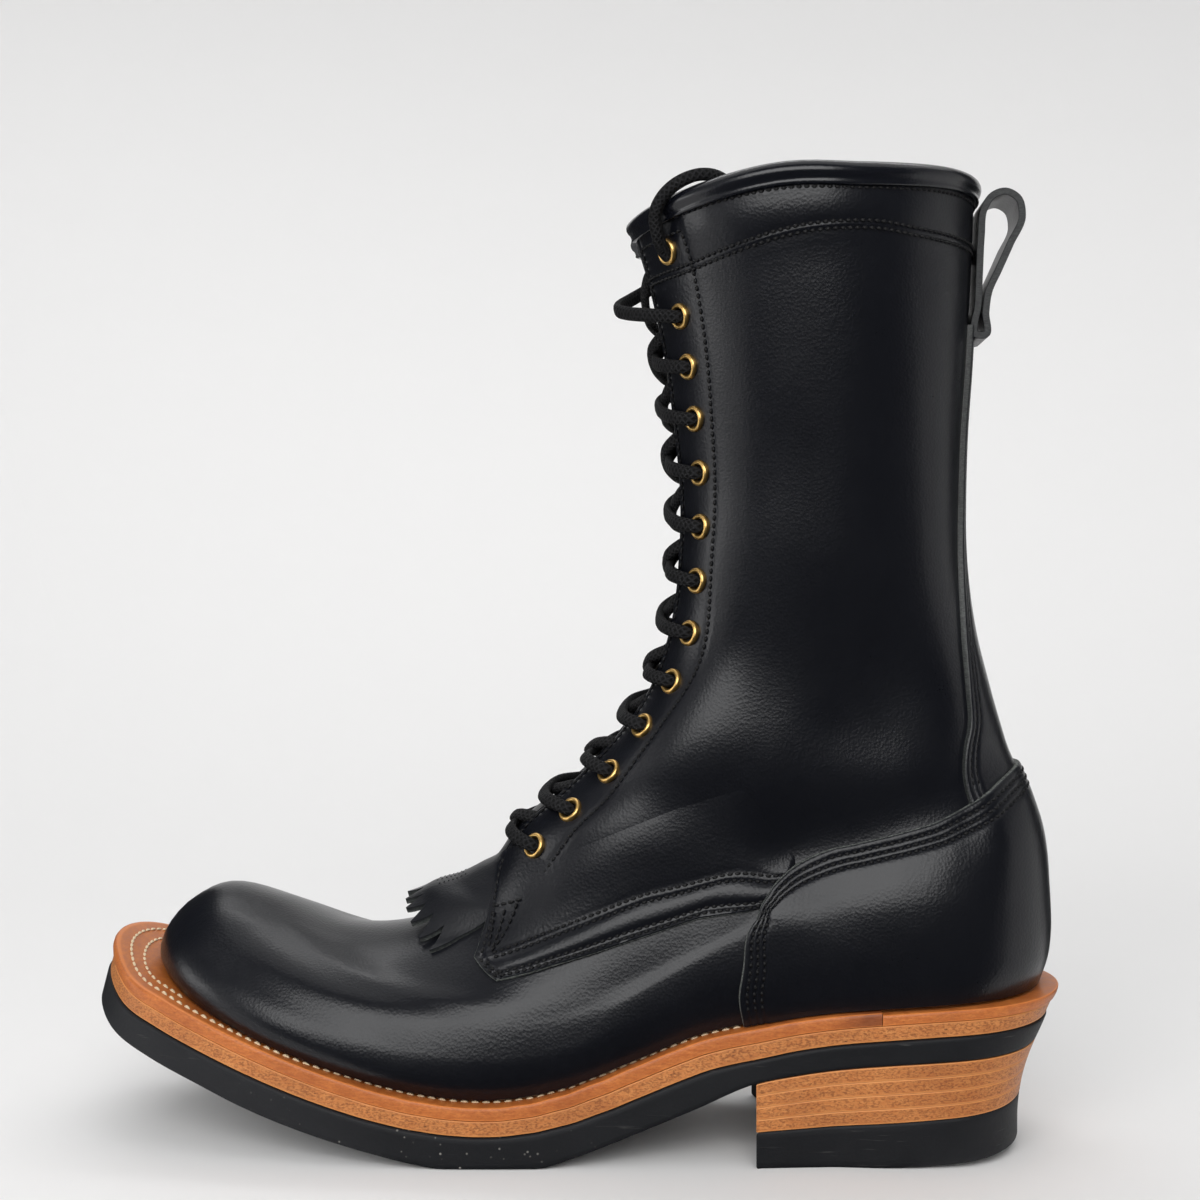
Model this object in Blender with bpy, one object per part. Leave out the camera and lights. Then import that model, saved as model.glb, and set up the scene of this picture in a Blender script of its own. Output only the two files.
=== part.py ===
"""Kiltie lace-up boot, left foot: the solids of the sole, the upper and the trimmings.

Lengths are in millimetres until solid() scales them to metres.  The toe points to -X, the outer side of the
foot to -Y, and the boot stands on Z = 0.
"""
import bpy
import numpy as np

MM = 0.001
ORIGIN = (-1.7, 3.7, 0.0)
GAP = 0.25
OVERLAY_GAP = 0.75
OUTSOLE = 9.0
MIDSOLE = 4.6
WELT = 3.9
SEAT = OUTSOLE + MIDSOLE + WELT + 3 * GAP + 0.75
WALL = 2.4
LEAN = 0.55
HEEL_THIN = 1.4
SMOOTH_STEPS = (-24.0, -12.0, 0.0, 12.0, 24.0)
SMOOTH_SHARES = (0.10, 0.25, 0.30, 0.25, 0.10)
SMOOTH_START = 10.0
SMOOTH_END = 55.0
BREAST_X = 57.5
BREAST_CURVE = 6.0
BUTT_X = 96.0
TOPLIFT = 10.9
TOPLIFT_SLOPE = 0.065
HEEL_ROCK = 2.6
LIFTS = 4
THROAT_RING = 8.35
EYELET_BORE = 2.5
EYELET_RIM = 4.0
EYELET_HEIGHT = 0.9
LACE_RADIUS = 1.9
LACE_LIFT = 4.0

# colours of the pieces
BLACK_LEATHER = (0.012, 0.011, 0.011)
BLACK_RUBBER = (0.015, 0.015, 0.016)
STACKED_LEATHER = (0.40, 0.19, 0.07)
WELT_LEATHER = (0.45, 0.17, 0.055)
INSOLE_LEATHER = (0.45, 0.30, 0.18)
BRASS = (0.70, 0.48, 0.18)
LACE_CORD = (0.013, 0.012, 0.012)

# sole stations: place along the boot, height of the tread, half width, sideways shift of the middle
SOLE_COLUMNS = ("x", "tread_z", "half_width", "middle_y")
SOLE_ROWS = (
    (-157.0, 40.6, 0.0, 10.0),
    (-145.0, 33.8, 30.5, 9.0),
    (-130.0, 27.8, 39.6, 8.4),
    (-113.0, 21.6, 45.0, 8.0),
    (-99.0, 16.2, 48.2, 8.0),
    (-80.0, 10.0, 51.0, 8.0),
    (-60.0, 4.7, 52.0, 7.5),
    (-45.0, 1.3, 51.6, 7.0),
    (-36.0, 0.0, 51.0, 6.6),
    (-8.0, 0.0, 46.2, 3.8),
    (2.0, 2.6, 43.8, 2.4),
    (14.0, 7.0, 41.0, 1.0),
    (26.0, 11.8, 38.6, -0.3),
    (40.0, 17.6, 36.8, -1.1),
    (57.0, 25.0, 35.8, -1.2),
    (70.0, 27.6, 35.8, -1.0),
    (85.0, 29.6, 36.2, -0.6),
    (100.0, 31.0, 36.6, -0.3),
    (115.0, 31.9, 36.0, 0.0),
    (131.0, 32.8, 33.2, 0.0),
    (143.0, 33.4, 26.2, 0.0),
    (154.4, 33.8, 0.0, 0.0),
)
TOE_ROUND = 86.0
HEEL_ROUND = 72.0

# how far the heel's rear and sides stand in from the rand, by height
HEEL_COLUMNS = ("z", "rear_in", "side_in")
HEEL_ROWS = (
    (0.0, 14.4, 2.6),
    (14.0, 14.0, 2.4),
    (23.0, 12.4, 1.9),
    (33.0, 8.8, 1.2),
    (38.0, 6.4, 0.8),
    (43.0, 4.2, 0.4),
    (48.0, 1.8, 0.2),
    (54.0, 0.0, 0.0),
)

# rings of the upper from the feather line to the collar: front point, back point, how far the flanks dip
# below the straight line between them, how soon they drop from the ridge of the vamp, breadth at five places
# from front to back, sideways shift of the front
RING_COLUMNS = (
    "front_x", "front_z", "back_x", "back_z", "dip", "drop",
    "front_w", "ball_w", "mid_w", "heel_w", "back_w", "shift",
)
RING_ROWS = (
    (-136.0, 54.0, 145.5, 48.5, 35.0, 0.0, 76.0, 53.0, 39.5, 37.5, 65.0, 9.5),
    (-137.6, 59.0, 148.0, 56.0, 36.0, 0.0, 77.0, 56.0, 41.2, 39.4, 67.0, 9.5),
    (-134.8, 66.0, 148.8, 63.5, 37.5, 1.5, 75.0, 55.6, 42.0, 40.6, 66.0, 9.5),
    (-127.8, 73.0, 148.6, 71.0, 38.5, 5.0, 71.0, 53.8, 41.4, 40.6, 65.0, 9.2),
    (-116.0, 77.8, 148.0, 79.0, 36.5, 8.0, 67.0, 51.0, 40.2, 39.8, 63.0, 8.6),
    (-98.5, 73.4, 146.8, 87.0, 30.0, 8.0, 58.0, 47.5, 38.6, 38.5, 60.0, 7.6),
    (-76.0, 64.8, 144.8, 95.5, 21.0, 5.5, 52.0, 44.4, 36.9, 36.9, 57.0, 6.2),
    (-53.5, 65.6, 142.2, 104.0, 14.0, 4.0, 50.0, 41.8, 35.3, 35.3, 53.5, 4.8),
    (-37.0, 74.0, 139.2, 113.0, 9.5, 3.0, 48.0, 39.6, 33.9, 33.9, 50.0, 3.6),
    (-26.0, 86.5, 135.4, 122.0, 7.0, 2.0, 46.0, 37.7, 32.8, 32.8, 47.0, 2.6),
    (-18.0, 98.0, 132.4, 132.0, 4.5, 1.0, 43.5, 36.2, 32.1, 32.1, 44.5, 1.8),
    (-5.5, 109.0, 129.2, 144.0, 2.5, 0.5, 41.5, 35.2, 31.9, 31.9, 42.5, 1.2),
    (11.0, 125.0, 125.8, 158.0, 1.0, 0.0, 39.5, 34.8, 32.3, 32.3, 41.0, 0.8),
    (22.5, 141.0, 123.6, 172.0, 0.0, 0.0, 38.5, 35.2, 33.4, 33.3, 40.0, 0.4),
    (29.0, 160.0, 122.4, 187.0, 0.0, 0.0, 39.0, 36.5, 35.0, 34.9, 40.0, 0.2),
    (31.8, 182.0, 122.2, 202.0, 0.0, 0.0, 40.0, 38.2, 37.0, 36.8, 40.8, 0.0),
    (32.0, 206.0, 122.8, 219.0, 0.0, 0.0, 41.4, 40.2, 39.6, 39.4, 42.0, 0.0),
    (28.8, 236.0, 124.2, 243.0, -1.0, 0.0, 44.0, 43.6, 43.4, 43.2, 44.6, 0.0),
    (23.2, 266.0, 125.6, 271.0, -1.6, 0.0, 47.0, 47.0, 47.0, 46.8, 47.4, 0.0),
    (17.4, 286.0, 126.8, 299.0, -4.2, 0.0, 50.0, 50.4, 50.6, 50.2, 50.4, 0.0),
)
LAST_RING = len(RING_ROWS) - 1

# half the gap between the two facings, by ring
THROAT_COLUMNS = ("ring", "half_gap")
THROAT_ROWS = ((0.0, 10.0), (8.0, 10.0), (11.0, 11.0), (15.0, 11.5), (19.0, 12.5))

# eyelet places on each facing: ring, angle from the front line
EYELET_COLUMNS = ("ring", "angle_deg")
EYELET_ROWS = (
    (9.57, 30.5), (10.50, 34.6), (11.36, 35.4), (12.16, 35.0), (13.02, 35.6), (13.84, 35.6), (14.62, 35.3),
    (15.37, 35.1), (16.05, 35.1), (16.61, 35.2), (17.13, 35.2), (17.62, 35.4), (18.37, 35.6),
)

# heel counter: ring, angle round the ring of its front edge; and the ring of its top edge by share of the way
# from the back seam to the front edge
COUNTER_COLUMNS = ("ring", "front_deg")
COUNTER_ROWS = ((0.1, 110.3), (1.3, 109.2), (3.2, 107.0), (5.0, 102.6), (6.4, 98.8), (7.8, 98.0))
COUNTER_TOP_COLUMNS = ("share", "ring")
COUNTER_TOP_ROWS = (
    (0.0, 8.42), (0.12, 8.36), (0.27, 8.18), (0.4, 7.9), (0.5, 7.68), (0.62, 7.5), (0.8, 7.6), (0.92, 7.7),
    (1.0, 7.35),
)
# backstay: ring, half breadth
BACKSTAY_COLUMNS = ("ring", "half_width")
BACKSTAY_ROWS = (
    (7.5, 28.5), (8.4, 27.4), (9.6, 23.6), (10.1, 20.4), (10.9, 18.0), (11.8, 15.4), (12.8, 12.5), (14.0, 11.0),
    (17.3, 10.5),
)
COUNTER_THICK = 1.8

# pull loop in side view, a closed line round the strap
LOOP_COLUMNS = ("x", "z")
LOOP_ROWS = (
    (126.8, 252.0), (127.0, 262.0), (127.4, 273.0), (127.9, 283.0), (128.9, 291.5), (131.4, 295.4), (135.4, 296.7),
    (139.2, 294.6), (140.5, 289.0), (136.9, 280.5), (133.2, 272.2), (130.2, 265.4), (129.3, 259.0), (129.1, 252.0),
)

# free lace end from the top eyelet over the collar and into the shaft: angle round the collar ring, distance
# outside the collar's face, height above its edge
LACE_END_COLUMNS = ("angle_deg", "out", "above")
LACE_END_ROWS = (
    (-38.4, 4.3, -7.6), (-39.4, 4.9, -4.2), (-40.8, 4.9, -1.6), (-43.0, 4.1, 0.9), (-46.0, 2.6, 3.0),
    (-50.0, 0.4, 4.4), (-54.7, -2.4, 4.5), (-58.4, -5.2, 3.0), (-61.8, -7.3, -0.3), (-65.8, -8.0, -5.5),
)


def columns(names, rows):
    """A table as a dictionary of arrays, one for each named column."""
    return dict(zip(names, np.array(rows, dtype=float).T))


SOLE = columns(SOLE_COLUMNS, SOLE_ROWS)
TOE_X = SOLE["x"][0]
REAR_X = SOLE["x"][-1]
MIDDLE_X = (TOE_X + REAR_X) / 2
HALF_LENGTH = (REAR_X - TOE_X) / 2
HEEL = columns(HEEL_COLUMNS, HEEL_ROWS)
RING = columns(RING_COLUMNS, RING_ROWS)
THROAT = columns(THROAT_COLUMNS, THROAT_ROWS)
COUNTER = columns(COUNTER_COLUMNS, COUNTER_ROWS)
COUNTER_TOP = columns(COUNTER_TOP_COLUMNS, COUNTER_TOP_ROWS)
BACKSTAY = columns(BACKSTAY_COLUMNS, BACKSTAY_ROWS)
EYELET = columns(EYELET_COLUMNS, EYELET_ROWS)


def curve(xs, ys, x, level=False):
    """Cubic line through the points; with level set it never runs past a flat stretch."""
    xs = np.asarray(xs, float)
    ys = np.asarray(ys, float)
    step = np.diff(ys) / np.diff(xs)
    width = np.diff(xs)
    slope = np.empty_like(ys)
    slope[1:-1] = (step[:-1] * width[1:] + step[1:] * width[:-1]) / (width[:-1] + width[1:])
    slope[0] = step[0]
    slope[-1] = step[-1]
    if level:
        flat = step[:-1] * step[1:] <= 0
        slope[1:-1][flat] = 0.0
        low = 2.5 * np.minimum(np.abs(step[:-1]), np.abs(step[1:]))
        slope[1:-1] = np.clip(slope[1:-1], -low, low)
    x = np.clip(np.asarray(x, float), xs[0], xs[-1])
    i = np.clip(np.searchsorted(xs, x, side="right") - 1, 0, len(xs) - 2)
    h = width[i]
    t = (x - xs[i]) / h
    a = ys[i] * (1 + 2 * t) * (1 - t) ** 2 + slope[i] * h * t * (1 - t) ** 2
    b = ys[i + 1] * t * t * (3 - 2 * t) + slope[i + 1] * h * t * t * (t - 1)
    return a + b


def tread(x):
    """Height and slope of the tread along the sole."""
    x = np.asarray(x, float)
    ahead = np.minimum(x + 1.0, REAR_X)
    behind = np.maximum(x - 1.0, TOE_X)
    z, za, zb = (curve(SOLE["x"], SOLE["tread_z"], place, level=True) for place in (x, ahead, behind))
    return z, (za - zb) / (ahead - behind)


def ease(low, high, x):
    """Smooth step from 0 at low to 1 at high."""
    t = np.clip((x - low) / (high - low), 0, 1)
    return t * t * (3 - 2 * t)


def layer(x, y, depth):
    """A point of the sole at a depth measured square to the tread.  Above the outsole the tread's line is a
    weighted mean over a short stretch, so that the layers run smoothly over the flat spots."""
    x = np.asarray(x, float)
    z, slope = tread(x)
    soft = [tread(x + step) for step in SMOOTH_STEPS]
    soft_z, soft_slope = (sum(w * row[k] for w, row in zip(SMOOTH_SHARES, soft)) for k in range(2))
    share = ease(TOE_X + SMOOTH_START, TOE_X + SMOOTH_END, x) * np.minimum(depth / OUTSOLE, 1.0)
    share = share * ease(REAR_X - SMOOTH_START, REAR_X - SMOOTH_END, x)
    z = z + (soft_z - z) * share
    slope = slope + (soft_slope - slope) * share
    length = np.sqrt(1 + slope ** 2)
    depth = depth - HEEL_THIN * np.minimum(depth / OUTSOLE, 1.0) * ease(42.0, 64.0, x)
    return np.stack([x - LEAN * depth * slope / length, y + 0.0 * x, z + depth * length ** 0.5], axis=-1)


def turn_at(x):
    """Outline parameter on the inner side at a place along the sole."""
    return np.arccos(np.clip((MIDDLE_X - x) / HALF_LENGTH, -1, 1))


def outline(t):
    """Sole outline: t goes from the heel's rear by the outer side to the toe at 0 and back by the inner side."""
    t = np.asarray(t, float)
    x = MIDDLE_X - HALF_LENGTH * np.cos(t)
    angle = turn_at(SOLE["x"][1:-1])
    breadth = SOLE["half_width"][1:-1] / np.sin(angle)
    breadth = curve(np.r_[0.0, angle, np.pi], np.r_[TOE_ROUND, breadth, HEEL_ROUND], np.abs(t))
    middle = curve(SOLE["x"], SOLE["middle_y"], x)
    return x, middle + np.sin(t) * breadth


def inset(x, y, by):
    """A closed outline moved inwards."""
    dx = np.roll(x, -1) - np.roll(x, 1)
    dy = np.roll(y, -1) - np.roll(y, 1)
    length = np.hypot(dx, dy)
    return x + by * dy / length, y - by * dx / length


def upper_frame(angle, ring):
    """The upper's outer face: a point for each angle round a ring and each ring number."""
    ring = np.asarray(ring, float)
    angle = np.asarray(angle, float)
    number = np.arange(len(RING_ROWS))
    row = {name: curve(number, RING[name], ring) for name in RING_COLUMNS}
    s = (1 - np.cos(angle)) / 2
    x = row["front_x"] + (row["back_x"] - row["front_x"]) * s
    line = row["front_z"] + (row["back_z"] - row["front_z"]) * s
    base_x = RING["front_x"][0] + (RING["back_x"][0] - RING["front_x"][0]) * s
    base_z = RING["front_z"][0] + (RING["back_z"][0] - RING["front_z"][0]) * s
    sole_x = np.linspace(TOE_X, REAR_X, 400)
    top = layer(sole_x, 0.0, SEAT)
    z = line - row["dip"] / RING["dip"][0] * (base_z - np.interp(base_x, top[:, 0], top[:, 2]))
    z = z - row["drop"] * 2.24 * (1 - (1 - s) ** 8) * (1 - s) ** 3
    places = (0.0, 0.25, 0.5, 0.75, 1.0)
    names = ("front_w", "ball_w", "mid_w", "heel_w", "back_w")
    breadth = np.zeros_like(s + ring)
    for k, name in enumerate(names):
        weight = curve(places, np.eye(5)[k], s)
        breadth = breadth + weight * row[name]
    y = np.sin(angle) * breadth + row["shift"] * (1 - s) ** 2
    return np.stack([x + 0 * y, y, z + 0 * y], axis=-1)


def upper(angle, ring, lift=0.0):
    """A point lifted square off the upper's outer face; a negative lift goes into the boot."""
    angle = np.asarray(angle, float)
    ring = np.asarray(ring, float)
    point = upper_frame(angle, ring)
    around = upper_frame(angle + 0.01, ring) - upper_frame(angle - 0.01, ring)
    up = np.minimum(ring + 0.02, LAST_RING)
    down = np.maximum(ring - 0.02, 0.0)
    along = upper_frame(angle, up) - upper_frame(angle, down)
    normal = np.cross(along, around)
    normal = normal / np.linalg.norm(normal, axis=-1, keepdims=True)
    return point + normal * np.asarray(lift)[..., None]


def collar(angle):
    """Point of the collar's edge, the direction out of the boot and the direction up the wall."""
    ring = np.full(len(angle), float(LAST_RING))
    base = upper(angle, ring)
    rise = base - upper(angle, ring - 0.15)
    return base, upper(angle, ring, 1.0) - base, rise / np.linalg.norm(rise, axis=1, keepdims=True)


def throat_angle(ring, extra=0.0):
    """Angle from the front line to a facing edge, or to a line a given distance behind it."""
    gap = curve(THROAT["ring"], THROAT["half_gap"], ring) + extra
    breadth = curve(np.arange(len(RING_ROWS)), RING["front_w"], ring)
    return np.arcsin(np.clip(gap / breadth, 0, 0.95))


def counter_top(share):
    """Ring of the counter's top edge, by share of the way from the back seam to its front edge."""
    return curve(COUNTER_TOP["share"], COUNTER_TOP["ring"], share)


def solid(name, points, faces, colour, rough=0.6, metal=0.0):
    """One closed mesh, a node of the assembly, with a material of its own."""
    points = np.asarray(points) - np.array(ORIGIN)
    fans = [(f[0], b, c) for f in faces for b, c in zip(f[1:-1], f[2:])]
    volume = sum(np.dot(points[a], np.cross(points[b], points[c])) for a, b, c in fans)
    if volume < 0:
        faces = [f[::-1] for f in faces]
    mesh = bpy.data.meshes.new(name)
    mesh.from_pydata((points * MM).tolist(), [], faces)
    mesh.validate()
    thing = bpy.data.objects.new(name, mesh)
    boot.objects.link(thing)
    paint = bpy.data.materials.new(name)
    paint.use_nodes = True
    shader = paint.node_tree.nodes["Principled BSDF"]
    shader.inputs["Base Color"].default_value = (*colour, 1.0)
    shader.inputs["Roughness"].default_value = rough
    shader.inputs["Metallic"].default_value = metal
    mesh.materials.append(paint)
    return thing


def shell(outer, inner, keep=None, wrap=False):
    """Points and faces of a wall between two grids; cells that are not kept leave an opening with a rim."""
    rows, cols = outer.shape[:2]
    last = cols if wrap else cols - 1
    if keep is None:
        keep = np.ones((rows - 1, last), bool)
    number = np.arange(rows * cols).reshape(rows, cols)
    count = rows * cols
    faces = []
    edges = {}
    for i in range(rows - 1):
        for j in range(last):
            if not keep[i, j]:
                continue
            k = (j + 1) % cols
            a, b, c, d = int(number[i, j]), int(number[i, k]), int(number[i + 1, k]), int(number[i + 1, j])
            faces.append((a, b, c, d))
            faces.append((d + count, c + count, b + count, a + count))
            for p, q in ((a, b), (b, c), (c, d), (d, a)):
                edges[(p, q)] = edges.get((p, q), 0) + 1
    for p, q in edges:
        if (q, p) not in edges:
            faces.append((q, p, p + count, q + count))
    points = np.concatenate([outer.reshape(-1, 3), inner.reshape(-1, 3)])
    used = np.unique(np.concatenate([np.array(f) for f in faces]))
    renumber = np.full(len(points), -1)
    renumber[used] = np.arange(len(used))
    return points[used], [tuple(int(renumber[v]) for v in f) for f in faces]


def tube(rings, closed=False):
    """Points and faces of a skin over a row of closed sections, capped at its ends unless it is a loop."""
    rows, cols = rings.shape[:2]
    faces = []
    for i in range(rows if closed else rows - 1):
        for j in range(cols):
            a = i * cols + j
            b = i * cols + (j + 1) % cols
            k = (i + 1) % rows
            faces.append((a, b, k * cols + (j + 1) % cols, k * cols + j))
    if not closed:
        faces.append(tuple(range(cols))[::-1])
        faces.append(tuple(range((rows - 1) * cols, rows * cols)))
    return rings.reshape(-1, 3), faces


def cord(path, radius, sides=5):
    """Round sections along a line."""
    path = np.asarray(path, float)
    along = np.gradient(path, axis=0)
    along /= np.linalg.norm(along, axis=1, keepdims=True)
    side = np.cross(along, np.array([0.31, 0.11, 0.94]))
    side /= np.linalg.norm(side, axis=1, keepdims=True)
    other = np.cross(along, side)
    turn = 2 * np.pi * np.arange(sides) / sides
    ring = np.cos(turn)[None, :, None] * side[:, None, :] + np.sin(turn)[None, :, None] * other[:, None, :]
    return path[:, None, :] + radius * ring


def across(x, y, columns_count):
    """Rows from the outer side to the inner side between the two halves of an outline."""
    half = len(x) // 2
    outer_side = np.stack([x[:half][::-1], y[:half][::-1]], axis=-1)
    inner_side = np.stack([x[-half:], y[-half:]], axis=-1)
    f = np.linspace(0, 1, columns_count)[None, :, None]
    return outer_side[:, None] * (1 - f) + inner_side[:, None] * f


def sole_turn(count):
    """Outline parameters, the same on both sides, that stop just short of the toe and the rear."""
    half = np.linspace(0.07, np.pi - 0.07, count)
    return np.r_[-half[::-1], half]


def heel_in(z, name):
    """How far the heel stands in at a height."""
    return curve(HEEL["z"], HEEL[name], z)


def sole_plate(low, high, by=0.0, count=34, columns_count=3, crown=0.0):
    """Top and bottom grids of a full-length sole layer between two depths."""
    x, y = outline(sole_turn(count))
    if by:
        x, y = inset(x, y, by)
    grid = across(x, y, columns_count)
    gx, gy = grid[..., 0], grid[..., 1]
    faces = []
    for depth in (high, low):
        point = layer(gx, gy, depth)
        point = heel_taper(point, gy)
        if crown and depth == low:
            edge = np.abs(np.linspace(-1, 1, columns_count))[None, :]
            flat = np.clip((BREAST_X - 8 - gx) / 20, 0, 1)
            point[..., 2] += crown * np.where(edge > 0.9, 1.0, 0.0) * flat
        faces.append(point)
    return faces


def heel_taper(point, y):
    """Bring a layer's rear and sides in towards the foot of the heel."""
    x, z = point[..., 0], point[..., 2]
    back = np.clip((x - BREAST_X) / (REAR_X - BREAST_X), 0, 1)
    point = point.copy()
    point[..., 0] = x - heel_in(z, "rear_in") * back ** 2
    point[..., 1] = y * (1 - heel_in(z, "side_in") / 36.0 * np.minimum(back * 4, 1))
    return point


def heel_layer(low, high, count=9, columns_count=5):
    """Top and bottom grids of a heel lift between two height lines, functions of the place along the boot."""
    turn = turn_at(BREAST_X)
    half = np.linspace(turn, np.pi - 0.09, count)
    x, y = outline(np.r_[-half[::-1], half])
    grid = across(x, y, columns_count)
    gx, gy = grid[..., 0], grid[..., 1]
    reach = np.linspace(1, 0, count)[:, None] ** 2
    bow = 1 - np.linspace(-1, 1, columns_count)[None, :] ** 2
    gx = gx + BREAST_CURVE * reach * bow
    return [heel_taper(np.stack([gx, gy, line(gx)], axis=-1), gy) for line in (high, low)]


def sole_parts():
    """Outsole, midsole, welt, rand, insole and the heel."""
    solid("outsole", *shell(*sole_plate(0.0, OUTSOLE, crown=1.6, columns_count=5)), BLACK_RUBBER, 0.7)
    low = OUTSOLE + GAP
    solid("midsole", *shell(*sole_plate(low, low + MIDSOLE, by=0.6)), STACKED_LEATHER, 0.6)
    low = low + MIDSOLE + GAP
    high = low + WELT
    wide = np.linspace(-np.pi + 0.02, np.pi - 0.02, 120)
    x, y = outline(wide)
    foot = upper_frame(wide, np.zeros_like(wide))
    ix, iy = inset(foot[:, 0], foot[:, 1], WALL + 0.4)
    joint = turn_at(BUTT_X)
    for name, turn in (
        ("welt", np.linspace(-joint + 0.004, joint - 0.004, 45)),
        ("heel_rand", np.linspace(joint + 0.004, 2 * np.pi - joint - 0.004, 23)),
    ):
        around = (turn + np.pi) % (2 * np.pi) - np.pi
        sx, sy = outline(around)
        edge = [layer(sx, sy, depth) for depth in (high, low + 0.45)]
        edge = [heel_taper(p, p[:, 1]) for p in edge]
        inner_angle = np.where(np.abs(turn) > np.pi, turn - 2 * np.pi, turn)
        bx = np.interp(inner_angle, wide, ix)
        by = np.interp(inner_angle, wide, iy)
        sole_x = np.linspace(TOE_X, REAR_X, 400)
        grids = []
        share = np.linspace(0, 1, 4)[None, :]
        for rim, depth in zip(edge, (high, low + 0.45)):
            top = layer(sole_x, 0.0, depth)
            gx = rim[:, :1] + (bx[:, None] - rim[:, :1]) * share
            gy = rim[:, 1:2] + (by[:, None] - rim[:, 1:2]) * share
            grids.append(np.stack([gx, gy, np.interp(gx, top[:, 0], top[:, 2])], axis=-1))
        solid(name, *shell(grids[0][:, ::-1], grids[1][:, ::-1]), WELT_LEATHER, 0.5)
    fx, fy = inset(foot[:, 0], foot[:, 1], WALL + 0.9)
    half = np.linspace(0.10, np.pi - 0.10, 22)
    turn = np.r_[-half[::-1], half]
    grid = across(np.interp(turn, wide, fx), np.interp(turn, wide, fy), 3)
    sheets = []
    for depth in (high + 3.6, low + 0.8):
        top = layer(np.linspace(TOE_X, REAR_X, 400), 0.0, depth)
        sheets.append(np.concatenate([grid, np.interp(grid[..., :1], top[:, 0], top[:, 2])], axis=-1))
    solid("insole", *shell(*sheets), INSOLE_LEATHER, 0.7)

    def lift_line(share, lower):
        """Height line of a lift edge: a share of the way from the top piece to the outsole."""
        def line(x):
            top_piece = TOPLIFT + TOPLIFT_SLOPE * (x - BREAST_X)
            under = tread(x)[0]
            return top_piece + (under - top_piece) * share + (GAP if lower else 0.0)
        return line

    def floor_line(x):
        """Flat under the front of the heel, a little rise at its rear."""
        return HEEL_ROCK * np.clip((x - 92.0) / 52.0, 0, 1) ** 1.6

    solid("heel_toplift", *shell(*heel_layer(floor_line, lift_line(0.0, False))), BLACK_RUBBER, 0.7)
    for k in range(LIFTS):
        pair = heel_layer(lift_line(k / LIFTS, True), lift_line((k + 1) / LIFTS, False))
        if k == LIFTS - 1:
            pair[0][..., 2] -= 0.3
        solid("heel_lift_%d" % (k + 1), *shell(*pair), STACKED_LEATHER, 0.6)


def upper_parts():
    """The hollow upper with the pieces cut from its own face."""
    rings = np.r_[np.linspace(0, THROAT_RING, 13), np.linspace(THROAT_RING, LAST_RING, 14)[1:]]
    edge = throat_angle(rings)
    inside = np.array([-1.0, -0.5, 0.0, 0.5])
    flank = np.linspace(0, 1, 33)[:-1]
    angle = np.concatenate([
        edge[:, None] * inside[None, :],
        edge[:, None] + flank[None, :] * (2 * np.pi - 2 * edge[:, None]),
    ], axis=1)
    level = np.broadcast_to(rings[:, None], angle.shape)
    keep = np.ones((len(rings) - 1, angle.shape[1]), bool)
    keep[12:, :4] = False
    wall = shell(upper(angle, level), upper(angle, level, -WALL), keep, wrap=True)
    solid("upper", *wall, BLACK_LEATHER, 0.45)

    rows = np.linspace(0, 1, 8)[:, None]
    turn = np.linspace(-1, 1, 21)[None, :]
    level = 0.1 + (counter_top(np.abs(turn)) - 0.1) * rows
    front = np.radians(curve(COUNTER["ring"], COUNTER["front_deg"], level))
    angle = np.pi + (np.pi - front) * turn
    face = [upper(angle, level, OVERLAY_GAP + lift) for lift in (COUNTER_THICK, 0.0)]
    solid("counter", *shell(*face), BLACK_LEATHER, 0.45)

    rows = np.linspace(0, 1, 15)[:, None]
    turn = np.linspace(-1, 1, 7)[None, :]
    low = counter_top(0.47 * np.abs(turn)) + 0.16
    level = low + (17.2 - low) * rows
    breadth = curve(np.arange(len(RING_ROWS)), RING["back_w"], level)
    half = np.arcsin(curve(BACKSTAY["ring"], BACKSTAY["half_width"], level) / breadth)
    angle = np.pi + half * turn
    face = [upper(angle, level, OVERLAY_GAP + lift) for lift in (2.0, 0.0)]
    solid("backstay", *shell(*face), BLACK_LEATHER, 0.5)

    line = np.array(LOOP_ROWS)
    along = np.roll(line, -1, axis=0) - np.roll(line, 1, axis=0)
    along /= np.linalg.norm(along, axis=1, keepdims=True)
    out = np.stack([along[:, 1], -along[:, 0]], axis=-1)
    section = []
    for y, lift in ((-10.0, -0.9), (10.0, -0.9), (10.0, 0.9), (-10.0, 0.9)):
        flat = line + lift * out
        section.append(np.stack([flat[:, 0], np.full(len(line), y), flat[:, 1]], axis=-1))
    solid("pull_loop", *tube(np.stack(section, axis=1), closed=True), BLACK_LEATHER, 0.6)

    edge = throat_angle(np.array(LAST_RING))
    base, normal, rise = collar(np.linspace(edge, 2 * np.pi - edge, 29))
    bind = ((0.5, -4.6), (1.5, -4.6), (1.6, 0.6), (0.4, 1.7), (-2.8, 1.7), (-4.0, 0.6), (-3.9, -4.6),
            (-WALL - 0.5, -4.6), (-WALL - 0.5, 0.4), (0.5, 0.4))
    section = np.stack([base + n * normal + h * rise for n, h in bind], axis=1)
    solid("collar_binding", *tube(section), BLACK_LEATHER, 0.35)

    level = np.linspace(7.2, 18.75, 16)[:, None] + 0.0 * np.linspace(-1, 1, 7)[None, :]
    half = throat_angle(level, 14.0)
    angle = half * np.linspace(-1, 1, 7)[None, :]
    face = [upper(angle, level, -WALL - depth) for depth in (0.7, 2.7)]
    solid("tongue", *shell(*face), BLACK_LEATHER, 0.6)

    kiltie()


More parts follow.
